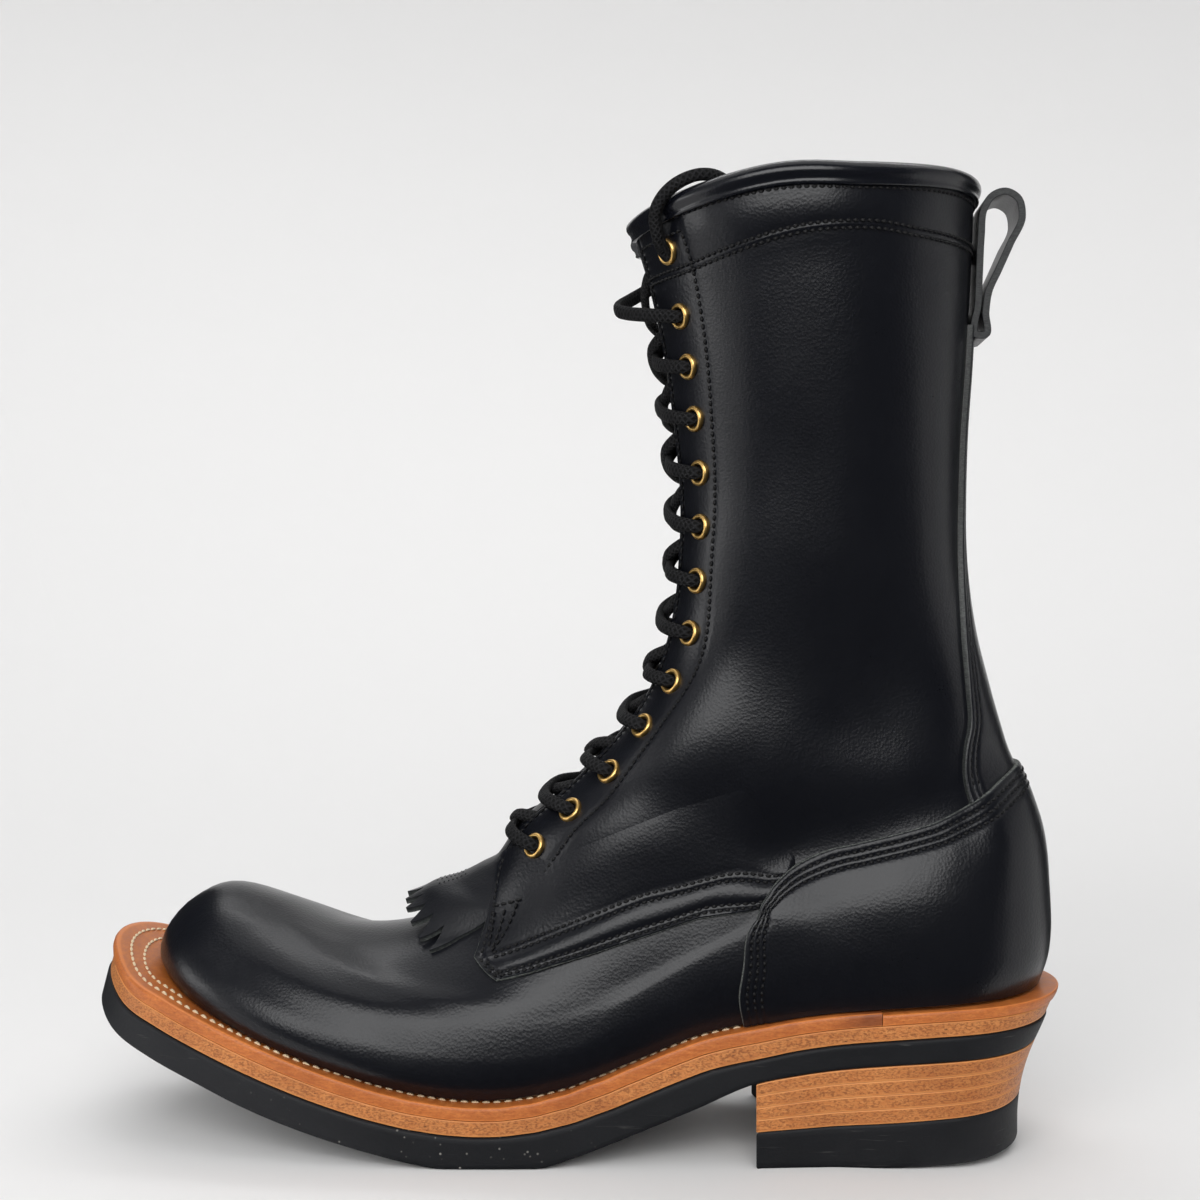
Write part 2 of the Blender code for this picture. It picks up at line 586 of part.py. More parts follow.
def kiltie():
    """Flap that lies over the tongue between the facings, climbs over the vamp and ends in a row of points."""
    share = np.linspace(0, 1, 10)[:, None]
    turn = np.linspace(-1, 1, 13)[None, :]
    level = 6.95 + (10.6 - 6.95) * share
    tips = 0.17 * np.where(np.arange(13) % 2 == 0, 1.0, -1.0)[None, :] * np.clip(1 - 6 * share, 0, 1)
    level = level - tips - 0.2 * turn ** 2 * np.clip(1 - 2 * share, 0, 1)
    spread = curve((6.2, 7.2, 7.8, 8.2, 8.6, 11.0), (27.0, 26.0, 22.0, 17.0, 8.8, 9.0), level, level=True)
    breadth = curve(np.arange(len(RING_ROWS)), RING["front_w"], level)
    angle = np.arcsin(np.clip(spread / breadth, 0, 0.95)) * turn
    lift = curve((6.2, 8.0, 8.5, 8.9, 11.0), (0.9, 0.9, 0.7, -2.0, -2.0), level, level=True)
    dome = curve((6.2, 7.0, 7.6, 8.2, 8.7, 9.1, 11.0), (6.2, 6.2, 6.2, 3.4, 1.2, 0.0, 0.0), level, level=True)
    lift = lift + dome * (1 - turn ** 2) ** 1.2
    solid("kiltie", *shell(upper(angle, level, lift + 1.7), upper(angle, level, lift)), BLACK_LEATHER, 0.6)


def lacing():
    """Eyelets on both facings, the crossings between them and the free end."""
    ring = EYELET["ring"]
    angle = np.radians(EYELET["angle_deg"])
    turn = 2 * np.pi * np.arange(8) / 8
    section = (
        (EYELET_BORE, 0.0), (EYELET_RIM, 0.0), (EYELET_RIM - 0.4, EYELET_HEIGHT), (EYELET_BORE, EYELET_HEIGHT),
    )
    for side, sign in (("l", -1.0), ("r", 1.0)):
        for k in range(len(ring)):
            spot = upper(np.array(sign * angle[k]), np.array(ring[k]), 0.7)
            normal = upper(np.array(sign * angle[k]), np.array(ring[k]), 1.7) - spot
            first = np.cross(normal, np.array([0.0, 0.0, 1.0]))
            first /= np.linalg.norm(first)
            second = np.cross(normal, first)
            circle = np.cos(turn)[:, None] * first + np.sin(turn)[:, None] * second
            grid = np.stack([spot + r * circle + h * normal for r, h in section], axis=1)
            solid("eyelet_%s%02d" % (side, k + 1), *tube(grid, closed=True), BRASS, 0.3, 1.0)
    strands = []
    for sign in (-1.0, 1.0):
        path_angle = []
        path_ring = []
        for k in range(len(ring) - 1):
            a = sign * angle[k] * (-1.0) ** k
            b = -sign * angle[k + 1] * (-1.0) ** k
            share = np.linspace(0, 1, 6)[:-1]
            path_angle.append(a + (b - a) * share)
            path_ring.append(ring[k] + (ring[k + 1] - ring[k]) * share)
        path_angle.append([b])
        path_ring.append([ring[-1]])
        path = upper(np.concatenate(path_angle), np.concatenate(path_ring), LACE_LIFT)
        name = "lace" if sign < 0 else "lace_other"
        strands.append(solid(name, *tube(cord(path, LACE_RADIUS)), LACE_CORD, 0.8))
    join = strands[0].modifiers.new("join", "BOOLEAN")
    join.operation = "UNION"
    join.solver = "EXACT"
    join.object = strands[1]
    boot.objects.unlink(strands[1])
    cutters.objects.link(strands[1])
    strands[1].hide_render = True
    strands[1].display_type = "WIRE"
    step = np.linspace(0, len(LACE_END_ROWS) - 1, 15)
    number = np.arange(len(LACE_END_ROWS))
    turn, out, above = (curve(number, column, step) for column in np.array(LACE_END_ROWS).T)
    base, normal, rise = collar(np.radians(turn))
    path = base + out[:, None] * normal + above[:, None] * rise
    solid("lace_end", *tube(cord(path, LACE_RADIUS)), LACE_CORD, 0.8)


for thing in list(bpy.data.objects):
    bpy.data.objects.remove(thing)
boot = bpy.data.collections.new("kiltie_boot")
cutters = bpy.data.collections.new("cutters")
bpy.context.scene.collection.children.link(boot)
bpy.context.scene.collection.children.link(cutters)
sole_parts()
upper_parts()
lacing()
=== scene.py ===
"""Looks of the kiltie boot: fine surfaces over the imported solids, their finishes, light and camera.

Lengths are in millimetres, in the part's own frame, until make() moves them to the row frame and scales
them to metres. The toe points to -X, the outer side of the left foot to -Y, and the boot stands on Z = 0.
"""
import bpy
import numpy as np
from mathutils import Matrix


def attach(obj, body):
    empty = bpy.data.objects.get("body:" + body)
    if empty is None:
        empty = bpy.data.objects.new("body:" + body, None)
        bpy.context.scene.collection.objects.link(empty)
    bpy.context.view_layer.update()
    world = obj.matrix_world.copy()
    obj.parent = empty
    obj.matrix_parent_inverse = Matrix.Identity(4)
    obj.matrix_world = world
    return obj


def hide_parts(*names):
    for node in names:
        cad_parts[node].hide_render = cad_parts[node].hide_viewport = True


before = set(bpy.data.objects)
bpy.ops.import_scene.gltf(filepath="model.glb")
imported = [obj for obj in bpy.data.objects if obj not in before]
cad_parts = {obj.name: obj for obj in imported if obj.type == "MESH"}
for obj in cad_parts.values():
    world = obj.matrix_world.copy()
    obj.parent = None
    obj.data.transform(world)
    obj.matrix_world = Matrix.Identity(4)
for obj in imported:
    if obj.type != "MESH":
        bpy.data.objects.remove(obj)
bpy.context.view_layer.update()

# a millimetre in metres, and the row frame's origin in the part's own frame
MM = 0.001
ORIGIN = np.array([-1.7, 3.7, 0.0])
# sole: thickness of each layer, the gap between layers, the height of each face over the tread
GAP = 0.25
OUTSOLE = 9.0
MIDSOLE = 4.6
WELT = 3.9
MIDSOLE_LOW = OUTSOLE + GAP
WELT_LOW = MIDSOLE_LOW + MIDSOLE + GAP
WELT_TOP = WELT_LOW + WELT
RAND_TOP = WELT_TOP - 0.7
MIDSOLE_IN = 0.5
TREAD_CROWN = 1.2
SEAT = WELT_TOP + GAP + 0.75
# how much the layers lean with the tread's slope and thin over the heel, and how their line is smoothed
LEAN = 0.55
HEEL_THIN = 1.4
SMOOTH_STEPS = (-24.0, -12.0, 0.0, 12.0, 24.0)
SMOOTH_SHARES = (0.10, 0.25, 0.30, 0.25, 0.10)
SMOOTH_START = 10.0
SMOOTH_END = 55.0
# heel: place and hollow of its breast, the joint of welt and rand, the top piece and the lifts
BREAST_X = 57.5
BREAST_CURVE = 6.0
BUTT_X = 96.0
TOPLIFT = 10.9
TOPLIFT_SLOPE = 0.065
HEEL_ROCK = 2.6
LIFTS = 4
# upper: wall, foot of the throat, scale of the vamp's drop, stitch line by the facing edge, the grid's row on
# the top band, millimetres to a ring there, depth of the tongue's two faces below the wall
WALL = 2.4
THROAT_RING = 8.35
DROP_PEAK = 2.24
FACING_STITCH = 2.2
BAND_ROW = 18.25
BAND_RING_STEP = 27.5
TONGUE_BELOW = (2.9, 4.9)
# eyelets and lace: bore and rim as radii, length of the barrel, half the lace's thickness
EYELET_BORE = 2.45
EYELET_RIM = 4.05
EYELET_BARREL = 2.6
LACE_HALF = 1.75
LACE_TAIL_HALF = 1.9

# sole stations: place along the boot, height of the tread, half width, sideways shift of the middle
SOLE_COLUMNS = ("x", "tread_z", "half_width", "middle_y")
SOLE_ROWS = (
    (-157.0, 40.6, 0.0, 10.0),
    (-145.0, 33.8, 30.5, 9.0),
    (-130.0, 27.8, 39.6, 8.4),
    (-113.0, 21.6, 45.0, 8.0),
    (-99.0, 16.2, 48.2, 8.0),
    (-80.0, 10.0, 51.0, 8.0),
    (-60.0, 4.7, 52.0, 7.5),
    (-45.0, 1.3, 51.6, 7.0),
    (-36.0, 0.0, 51.0, 6.6),
    (-8.0, 0.0, 46.2, 3.8),
    (2.0, 2.6, 43.8, 2.4),
    (14.0, 7.0, 41.0, 1.0),
    (26.0, 11.8, 38.6, -0.3),
    (40.0, 17.6, 36.8, -1.1),
    (57.0, 25.0, 35.8, -1.2),
    (70.0, 27.6, 35.8, -1.0),
    (85.0, 29.6, 36.2, -0.6),
    (100.0, 31.0, 36.6, -0.3),
    (115.0, 31.9, 36.0, 0.0),
    (131.0, 32.8, 33.2, 0.0),
    (143.0, 33.4, 26.2, 0.0),
    (154.4, 33.8, 0.0, 0.0),
)
TOE_ROUND = 86.0
HEEL_ROUND = 72.0

# how far the heel's rear and sides stand in from the rand, by height
HEEL_COLUMNS = ("z", "rear_in", "side_in")
HEEL_ROWS = (
    (0.0, 14.4, 2.6),
    (14.0, 14.0, 2.4),
    (23.0, 12.4, 1.9),
    (33.0, 8.8, 1.2),
    (38.0, 6.4, 0.8),
    (43.0, 4.2, 0.4),
    (48.0, 1.8, 0.2),
    (54.0, 0.0, 0.0),
)

# rings of the upper from the feather line to the collar: front point, back point, how far the flanks dip
# below the straight line between them, how soon they drop from the ridge of the vamp, breadth at five places
# from front to back, sideways shift of the front
RING_COLUMNS = (
    "front_x", "front_z", "back_x", "back_z", "dip", "drop",
    "front_w", "ball_w", "mid_w", "heel_w", "back_w", "shift",
)
RING_ROWS = (
    (-136.0, 54.0, 145.5, 48.5, 35.0, 0.0, 76.0, 53.0, 39.5, 37.5, 65.0, 9.5),
    (-137.6, 59.0, 148.0, 56.0, 36.0, 0.0, 77.0, 56.0, 41.2, 39.4, 67.0, 9.5),
    (-134.8, 66.0, 148.8, 63.5, 37.5, 1.5, 75.0, 55.6, 42.0, 40.6, 66.0, 9.5),
    (-127.8, 73.0, 148.6, 71.0, 38.5, 5.0, 71.0, 53.8, 41.4, 40.6, 65.0, 9.2),
    (-116.0, 77.8, 148.0, 79.0, 36.5, 8.0, 67.0, 51.0, 40.2, 39.8, 63.0, 8.6),
    (-98.5, 73.4, 146.8, 87.0, 30.0, 8.0, 58.0, 47.5, 38.6, 38.5, 60.0, 7.6),
    (-76.0, 64.8, 144.8, 95.5, 21.0, 5.5, 52.0, 44.4, 36.9, 36.9, 57.0, 6.2),
    (-53.5, 65.6, 142.2, 104.0, 14.0, 4.0, 50.0, 41.8, 35.3, 35.3, 53.5, 4.8),
    (-37.0, 74.0, 139.2, 113.0, 9.5, 3.0, 48.0, 39.6, 33.9, 33.9, 50.0, 3.6),
    (-26.0, 86.5, 135.4, 122.0, 7.0, 2.0, 46.0, 37.7, 32.8, 32.8, 47.0, 2.6),
    (-18.0, 98.0, 132.4, 132.0, 4.5, 1.0, 43.5, 36.2, 32.1, 32.1, 44.5, 1.8),
    (-5.5, 109.0, 129.2, 144.0, 2.5, 0.5, 41.5, 35.2, 31.9, 31.9, 42.5, 1.2),
    (11.0, 125.0, 125.8, 158.0, 1.0, 0.0, 39.5, 34.8, 32.3, 32.3, 41.0, 0.8),
    (22.5, 141.0, 123.6, 172.0, 0.0, 0.0, 38.5, 35.2, 33.4, 33.3, 40.0, 0.4),
    (29.0, 160.0, 122.4, 187.0, 0.0, 0.0, 39.0, 36.5, 35.0, 34.9, 40.0, 0.2),
    (31.8, 182.0, 122.2, 202.0, 0.0, 0.0, 40.0, 38.2, 37.0, 36.8, 40.8, 0.0),
    (32.0, 206.0, 122.8, 219.0, 0.0, 0.0, 41.4, 40.2, 39.6, 39.4, 42.0, 0.0),
    (28.8, 236.0, 124.2, 243.0, -1.0, 0.0, 44.0, 43.6, 43.4, 43.2, 44.6, 0.0),
    (23.2, 266.0, 125.6, 271.0, -1.6, 0.0, 47.0, 47.0, 47.0, 46.8, 47.4, 0.0),
    (17.4, 286.0, 126.8, 299.0, -4.2, 0.0, 50.0, 50.4, 50.6, 50.2, 50.4, 0.0),
)
LAST_RING = len(RING_ROWS) - 1

# half the gap between the two facings, by ring
THROAT_COLUMNS = ("ring", "half_gap")
THROAT_ROWS = ((0.0, 10.0), (8.0, 10.0), (11.0, 11.0), (15.0, 11.5), (19.0, 12.5))

# the facing's rear stitch line: ring, distance behind the facing edge
FACING_COLUMNS = ("ring", "behind")
FACING_ROWS = (
    (0.0, 18.9), (8.4, 18.8), (9.8, 19.2), (10.6, 19.2), (11.3, 17.9), (12.0, 17.0), (13.6, 16.6),
    (14.6, 15.8), (15.4, 16.2), (16.4, 17.8), (17.3, 20.3), (18.1, 21.7), (19.0, 22.0),
)

# the top band's stitch line round the shaft: angle from the front, ring
BAND_COLUMNS = ("angle_deg", "ring")
BAND_ROWS = (
    (0.0, 18.08), (21.0, 18.09), (46.5, 18.10), (63.0, 18.18), (80.0, 18.28), (95.0, 18.35), (110.0, 18.37),
    (127.0, 18.31), (164.0, 18.27), (180.0, 18.27),
)

# eyelet places on each facing: ring, angle from the front line
EYELET_COLUMNS = ("ring", "angle_deg")
EYELET_ROWS = (
    (9.57, 30.5), (10.50, 34.6), (11.36, 35.4), (12.16, 35.0), (13.02, 35.6), (13.84, 35.6), (14.62, 35.3),
    (15.37, 35.1), (16.05, 35.1), (16.61, 35.2), (17.13, 35.2), (17.62, 35.4), (18.37, 35.6),
)

# lines on the upper, as angle from the front and ring.  The quarter, a row for each station from under
# the counter to its front: the raw lower edge of its strap, the strap's upper stitch line, and where the
# step has died away; the last station is the end of the strap and the front edge of the facing
LINE_COLUMNS = ("angle_deg", "ring")
QUARTER_EDGE = (
    (105.3, 6.32), (98.9, 6.61), (91.2, 7.07), (83.7, 7.30), (73.5, 7.17), (63.9, 6.81), (59.8, 6.51),
    (56.7, 6.29),
)
QUARTER_BAND = (
    (106.8, 7.21), (99.1, 7.57), (92.1, 8.03), (85.7, 8.25), (72.9, 8.30), (58.6, 7.93), (49.5, 7.51),
    (42.5, 6.94),
)
QUARTER_FADE = (
    (107.0, 7.5), (100.0, 8.5), (92.0, 10.2), (84.0, 11.0), (71.0, 10.8), (52.0, 10.4), (32.0, 9.8),
    (13.4, 9.24),
)
# the heel counter's raw edge from the welt up and back to the seam, and its foot along the welt
COUNTER_EDGE = (
    (110.3, 0.0), (109.0, 1.42), (108.2, 3.05), (104.4, 5.27), (101.8, 6.14), (99.7, 6.83), (99.7, 7.18),
    (101.2, 7.47), (103.9, 7.62), (109.8, 7.71), (115.5, 7.62), (124.2, 7.55), (131.1, 7.56),
    (139.5, 7.73), (148.0, 7.95), (158.6, 8.25), (170.0, 8.40), (180.0, 8.43),
)
COUNTER_FOOT = (
    (138.0, 0.0), (139.0, 0.0), (140.0, 0.0), (141.5, 0.0), (143.0, 0.0), (144.5, 0.0), (146.0, 0.0),
    (147.5, 0.0), (149.0, 0.0), (151.5, 0.0), (154.0, 0.0), (157.0, 0.0), (160.0, 0.0), (163.5, 0.0),
    (167.0, 0.0), (171.5, 0.0), (175.5, 0.0), (180.0, 0.0),
)
# backstay: ring, half breadth
BACKSTAY_COLUMNS = ("ring", "half_width")
BACKSTAY_ROWS = (
    (7.3, 30.0), (8.4, 28.4), (9.0, 26.6), (9.6, 24.2), (10.1, 21.6), (10.9, 19.4), (11.8, 16.8),
    (12.8, 14.0), (14.0, 11.6), (15.5, 10.6), (17.6, 10.2),
)

# pull loop in side view, a closed line round the strap: x, z
LOOP_ROWS = (
    (126.8, 252.0), (127.0, 262.0), (127.4, 273.0), (127.9, 283.0), (128.9, 291.5), (131.4, 295.4),
    (135.4, 296.7), (139.2, 294.6), (140.5, 289.0), (136.9, 280.5), (133.2, 272.2), (130.2, 265.4),
    (129.3, 259.0), (129.1, 252.0),
)

# section of the loop's strap: share of its half breadth, share of its half thickness, how raw the leather is
LOOP_HALF_WIDTH = 10.0
LOOP_HALF_THICK = 1.1
LOOP_CORNERS = (
    (-1.0, -0.85, 0.16), (-0.985, -1.0, 0.0), (0.985, -1.0, 0.0), (1.0, -0.85, 0.16),
    (1.0, 0.85, 0.16), (0.985, 1.0, 0.0), (-0.985, 1.0, 0.0), (-1.0, 0.85, 0.16),
)

# free lace end from the top eyelet over the collar and into the shaft: angle round the collar ring, distance
# outside the collar's face, height above its edge
LACE_END_ROWS = (
    (-38.4, 4.3, -7.6), (-39.4, 4.9, -4.2), (-40.8, 4.9, -1.6), (-43.0, 4.1, 0.9), (-46.0, 2.6, 3.0),
    (-50.0, 0.4, 4.4), (-54.7, -2.4, 4.5), (-58.4, -5.2, 3.0), (-61.8, -7.3, -0.3), (-65.8, -8.0, -5.5),
)

# soft folds of the leather in side view: side of the boot (-1 outer, 1 inner, 0 both), the two ends of the
# fold's line, its breadth and its height, negative for a trough
FOLD_ROWS = (
    (0.0, 34.0, 128.0, 96.0, 112.0, 17.0, 1.5),
    (0.0, 12.0, 112.0, 70.0, 98.0, 10.0, -1.0),
    (0.0, 52.0, 158.0, 100.0, 148.0, 18.0, -1.1),
    (0.0, 84.0, 132.0, 118.0, 124.0, 9.0, -0.5),
    (1.0, 40.0, 150.0, 84.0, 132.0, 9.0, -0.7),
    (-1.0, 46.0, 205.0, 92.0, 216.0, 22.0, -0.5),
    (0.0, 44.0, 281.0, 106.0, 287.0, 8.0, 1.3),
)


def columns(names, rows):
    """A table as a dictionary of arrays, one for each named column."""
    return dict(zip(names, np.array(rows, dtype=float).T))


SOLE = columns(SOLE_COLUMNS, SOLE_ROWS)
HEEL = columns(HEEL_COLUMNS, HEEL_ROWS)
RING = columns(RING_COLUMNS, RING_ROWS)
THROAT = columns(THROAT_COLUMNS, THROAT_ROWS)
FACING = columns(FACING_COLUMNS, FACING_ROWS)
BAND = columns(BAND_COLUMNS, BAND_ROWS)
EYELET = columns(EYELET_COLUMNS, EYELET_ROWS)
BACKSTAY = columns(BACKSTAY_COLUMNS, BACKSTAY_ROWS)
TOE_X = SOLE["x"][0]
REAR_X = SOLE["x"][-1]
MIDDLE_X = (TOE_X + REAR_X) / 2
HALF_LENGTH = (REAR_X - TOE_X) / 2


def curve(xs, ys, x, level=False):
    """Cubic line through the points; with level set it never runs past a flat stretch."""
    xs = np.asarray(xs, float)
    ys = np.asarray(ys, float)
    step = np.diff(ys) / np.diff(xs)
    width = np.diff(xs)
    slope = np.empty_like(ys)
    slope[1:-1] = (step[:-1] * width[1:] + step[1:] * width[:-1]) / (width[:-1] + width[1:])
    slope[0] = step[0]
    slope[-1] = step[-1]
    if level:
        flat = step[:-1] * step[1:] <= 0
        slope[1:-1][flat] = 0.0
        low = 2.5 * np.minimum(np.abs(step[:-1]), np.abs(step[1:]))
        slope[1:-1] = np.clip(slope[1:-1], -low, low)
    x = np.clip(np.asarray(x, float), xs[0], xs[-1])
    i = np.clip(np.searchsorted(xs, x, side="right") - 1, 0, len(xs) - 2)
    h = width[i]
    t = (x - xs[i]) / h
    a = ys[i] * (1 + 2 * t) * (1 - t) ** 2 + slope[i] * h * t * (1 - t) ** 2
    b = ys[i + 1] * t * t * (3 - 2 * t) + slope[i + 1] * h * t * t * (t - 1)
    return a + b


def ease(low, high, x):
    """Smooth step from 0 at low to 1 at high."""
    t = np.clip((x - low) / (high - low), 0, 1)
    return t * t * (3 - 2 * t)


def unit(vectors):
    """Vectors scaled to length 1."""
    return vectors / np.linalg.norm(vectors, axis=-1, keepdims=True)


def ring_value(name, ring):
    """A column of the ring table at any place between its rows."""
    return curve(np.arange(len(RING_ROWS)), RING[name], ring)


def from_front(angle):
    """Angle from the front line, the same on both sides of the boot."""
    return np.abs((angle + np.pi) % (2 * np.pi) - np.pi)


def tread(x):
    """Height and slope of the tread along the sole."""
    x = np.asarray(x, float)
    ahead = np.minimum(x + 1.0, REAR_X)
    behind = np.maximum(x - 1.0, TOE_X)
    z, za, zb = (curve(SOLE["x"], SOLE["tread_z"], place, level=True) for place in (x, ahead, behind))
    return z, (za - zb) / (ahead - behind)


def layer(x, y, depth):
    """A point of the sole at a depth measured square to the tread.  Above the outsole the tread's line is a
    weighted mean over a short stretch, so that the layers run smoothly over the flat spots."""
    x = np.asarray(x, float)
    z, slope = tread(x)
    soft = [tread(x + step) for step in SMOOTH_STEPS]
    soft_z, soft_slope = (sum(w * row[k] for w, row in zip(SMOOTH_SHARES, soft)) for k in range(2))
    share = ease(TOE_X + SMOOTH_START, TOE_X + SMOOTH_END, x) * np.minimum(depth / OUTSOLE, 1.0)
    share = share * ease(REAR_X - SMOOTH_START, REAR_X - SMOOTH_END, x)
    z = z + (soft_z - z) * share
    slope = slope + (soft_slope - slope) * share
    length = np.sqrt(1 + slope ** 2)
    depth = depth - HEEL_THIN * np.minimum(depth / OUTSOLE, 1.0) * ease(42.0, 64.0, x)
    return np.stack([x - LEAN * depth * slope / length, y + 0.0 * x, z + depth * length ** 0.5], axis=-1)


def turn_at(x):
    """Outline parameter on the inner side at a place along the sole."""
    return np.arccos(np.clip((MIDDLE_X - x) / HALF_LENGTH, -1, 1))


def outline(t):
    """Sole outline: t goes from the heel's rear by the outer side to the toe at 0 and back by the inner
    side."""
    t = np.asarray(t, float)
    x = MIDDLE_X - HALF_LENGTH * np.cos(t)
    angle = turn_at(SOLE["x"][1:-1])
    breadth = SOLE["half_width"][1:-1] / np.sin(angle)
    breadth = curve(np.r_[0.0, angle, np.pi], np.r_[TOE_ROUND, breadth, HEEL_ROUND], np.abs(t))
    return x, curve(SOLE["x"], SOLE["middle_y"], x) + np.sin(t) * breadth


def outline_in(t):
    """Points of the sole outline with the directions square to it, pointing inwards."""
    x, y = outline(t)
    ahead_x, ahead_y = outline(t + 0.01)
    behind_x, behind_y = outline(t - 0.01)
    length = np.hypot(ahead_x - behind_x, ahead_y - behind_y)
    return x, y, (ahead_y - behind_y) / length, (behind_x - ahead_x) / length


def inward(x, y):
    """Directions square to a closed outline, pointing inwards."""
    dx = np.roll(x, -1) - np.roll(x, 1)
    dy = np.roll(y, -1) - np.roll(y, 1)
    length = np.hypot(dx, dy)
    return dy / length, -dx / length


def heel_taper(point, y):
    """Bring a layer's rear and sides in towards the foot of the heel."""
    x, z = point[..., 0], point[..., 2]
    back = np.clip((x - BREAST_X) / (REAR_X - BREAST_X), 0, 1)
    point = point.copy()
    point[..., 0] = x - curve(HEEL["z"], HEEL["rear_in"], z) * back ** 2
    point[..., 1] = y * (1 - curve(HEEL["z"], HEEL["side_in"], z) / 36.0 * np.minimum(back * 4, 1))
    return point


def section(angle, ring):
    """The last's face: on each ring, x goes from front to back with s = (1 - cos angle) / 2, y is sin
    angle times a breadth that changes with s, and z is the line from front to back less the dips of the
    flanks."""
    row = {name: ring_value(name, ring) for name in RING_COLUMNS}
    s = (1 - np.cos(angle)) / 2
    x = row["front_x"] + (row["back_x"] - row["front_x"]) * s
    line = row["front_z"] + (row["back_z"] - row["front_z"]) * s
    base_x = RING["front_x"][0] + (RING["back_x"][0] - RING["front_x"][0]) * s
    base_z = RING["front_z"][0] + (RING["back_z"][0] - RING["front_z"][0]) * s
    top = layer(np.linspace(TOE_X, REAR_X, 400), 0.0, SEAT)
    z = line - row["dip"] / RING["dip"][0] * (base_z - np.interp(base_x, top[:, 0], top[:, 2]))
    z = z - row["drop"] * DROP_PEAK * (1 - (1 - s) ** 8) * (1 - s) ** 3
    places = (0.0, 0.25, 0.5, 0.75, 1.0)
    names = ("front_w", "ball_w", "mid_w", "heel_w", "back_w")
    breadth = sum(curve(places, np.eye(5)[k], s) * row[name] for k, name in enumerate(names))
    return np.stack([x, np.sin(angle) * breadth + row["shift"] * (1 - s) ** 2, z], axis=-1)


def folds(point):
    """Height of the soft folds: for each row of the table a bell over the distance to its line in side
    view, and over all a faint unevenness of crossed waves. Along the seams that draw the leather in there
    is a trough."""
    x, y, z = point[..., 0], point[..., 1], point[..., 2]
    height = 0.10 * np.sin(x / 9.0 + z / 14.0) * np.sin(z / 11.0 - y / 16.0)
    height = height + 0.12 * np.sin(x / 21.0 - z / 17.0 + 1.3) * np.sin(y / 19.0 + z / 23.0)
    for side, x0, z0, x1, z1, breadth, rise in FOLD_ROWS:
        dx, dz = x1 - x0, z1 - z0
        t = np.clip(((x - x0) * dx + (z - z0) * dz) / (dx * dx + dz * dz), 0, 1)
        away = np.hypot(x - x0 - t * dx, z - z0 - t * dz)
        mask = ease(6.0, 26.0, np.abs(y)) if side == 0 else ease(6.0, 26.0, side * y)
        height = height + rise * mask * np.exp(-(away / breadth) ** 2)
    for line, above, depth, width in PINCHES:
        x0, z0 = line[:-1, 0, None], line[:-1, 1, None]
        dx, dz = np.diff(line[:, 0])[:, None], np.diff(line[:, 1])[:, None]
        flat_x, flat_z = x.reshape(1, -1) - x0, z.reshape(1, -1) - z0 - above
        t = np.clip((flat_x * dx + flat_z * dz) / (dx * dx + dz * dz), 0, 1)
        away = np.hypot(flat_x - t * dx, flat_z - t * dz).min(axis=0).reshape(x.shape)
        height = height - depth * ease(4.0, 22.0, np.abs(y)) * np.exp(-(away / width) ** 2)
    return height * ease(0.0, 2.0, z - 30.0)


# the troughs above the quarter's strap and the counter's top: the edge in side view, the trough's height
# above it, its depth and its breadth
PINCHES = tuple(
    (section(*np.array(rows).T * np.array([[np.pi / 180], [1.0]]))[:, [0, 2]], above, depth, breadth)
    for rows, above, depth, breadth in (
        (QUARTER_EDGE[1:], 12.0, 2.4, 13.0),
        (COUNTER_EDGE[8:], 4.0, 2.6, 12.0),
    )
)
# where the strap goes under the counter, in side view
STRAP_END = section(np.radians(100.5), 6.95)[[0, 2]]


def surface(angle, ring):
    """Points of the leather's face, folds included, and the directions square off it."""
    angle, ring = np.broadcast_arrays(np.asarray(angle, float), np.asarray(ring, float))
    point = section(angle, ring)
    around = section(angle + 0.01, ring) - section(angle - 0.01, ring)
    up = np.minimum(ring + 0.02, LAST_RING)
    down = np.maximum(ring - 0.02, 0.0)
    normal = unit(np.cross(section(angle, up) - section(angle, down), around))
    return point + folds(point)[..., None] * normal, normal


def throat_angle(ring, extra=0.0):
    """Angle from the front line to a facing edge, or to a line a given distance behind it."""
    gap = curve(THROAT["ring"], THROAT["half_gap"], ring) + extra
    return np.arcsin(np.clip(gap / ring_value("front_w", ring), 0, 0.95))


def facing_angle(ring, extra=0.0):
    """Angle from the front line to the facing's rear stitch line, or to a line a given distance behind it."""
    return throat_angle(ring, curve(FACING["ring"], FACING["behind"], ring) + extra)


def band_ring(angle):
    """Ring of the top band's stitch line at an angle round the shaft."""
    return curve(BAND["angle_deg"], BAND["ring"], np.degrees(from_front(angle)))


def collar(angle):
    """Point of the collar's edge, the direction out of the boot and the direction up the wall."""
    ring = np.full(np.shape(angle), float(LAST_RING))
    base, normal = surface(angle, ring)
    return base, normal, unit(base - surface(angle, ring - 0.15)[0])


def quads(rows, cols, wrap_rows=False, wrap_cols=False):
    """Faces of a grid of points, an array of shape rows by columns by 4."""
    i = np.arange(rows if wrap_rows else rows - 1)[:, None]
    j = np.arange(cols if wrap_cols else cols - 1)[None, :]
    k = (i + 1) % rows
    m = (j + 1) % cols
    return np.stack([i * cols + j, i * cols + m, k * cols + m, k * cols + j], axis=-1)


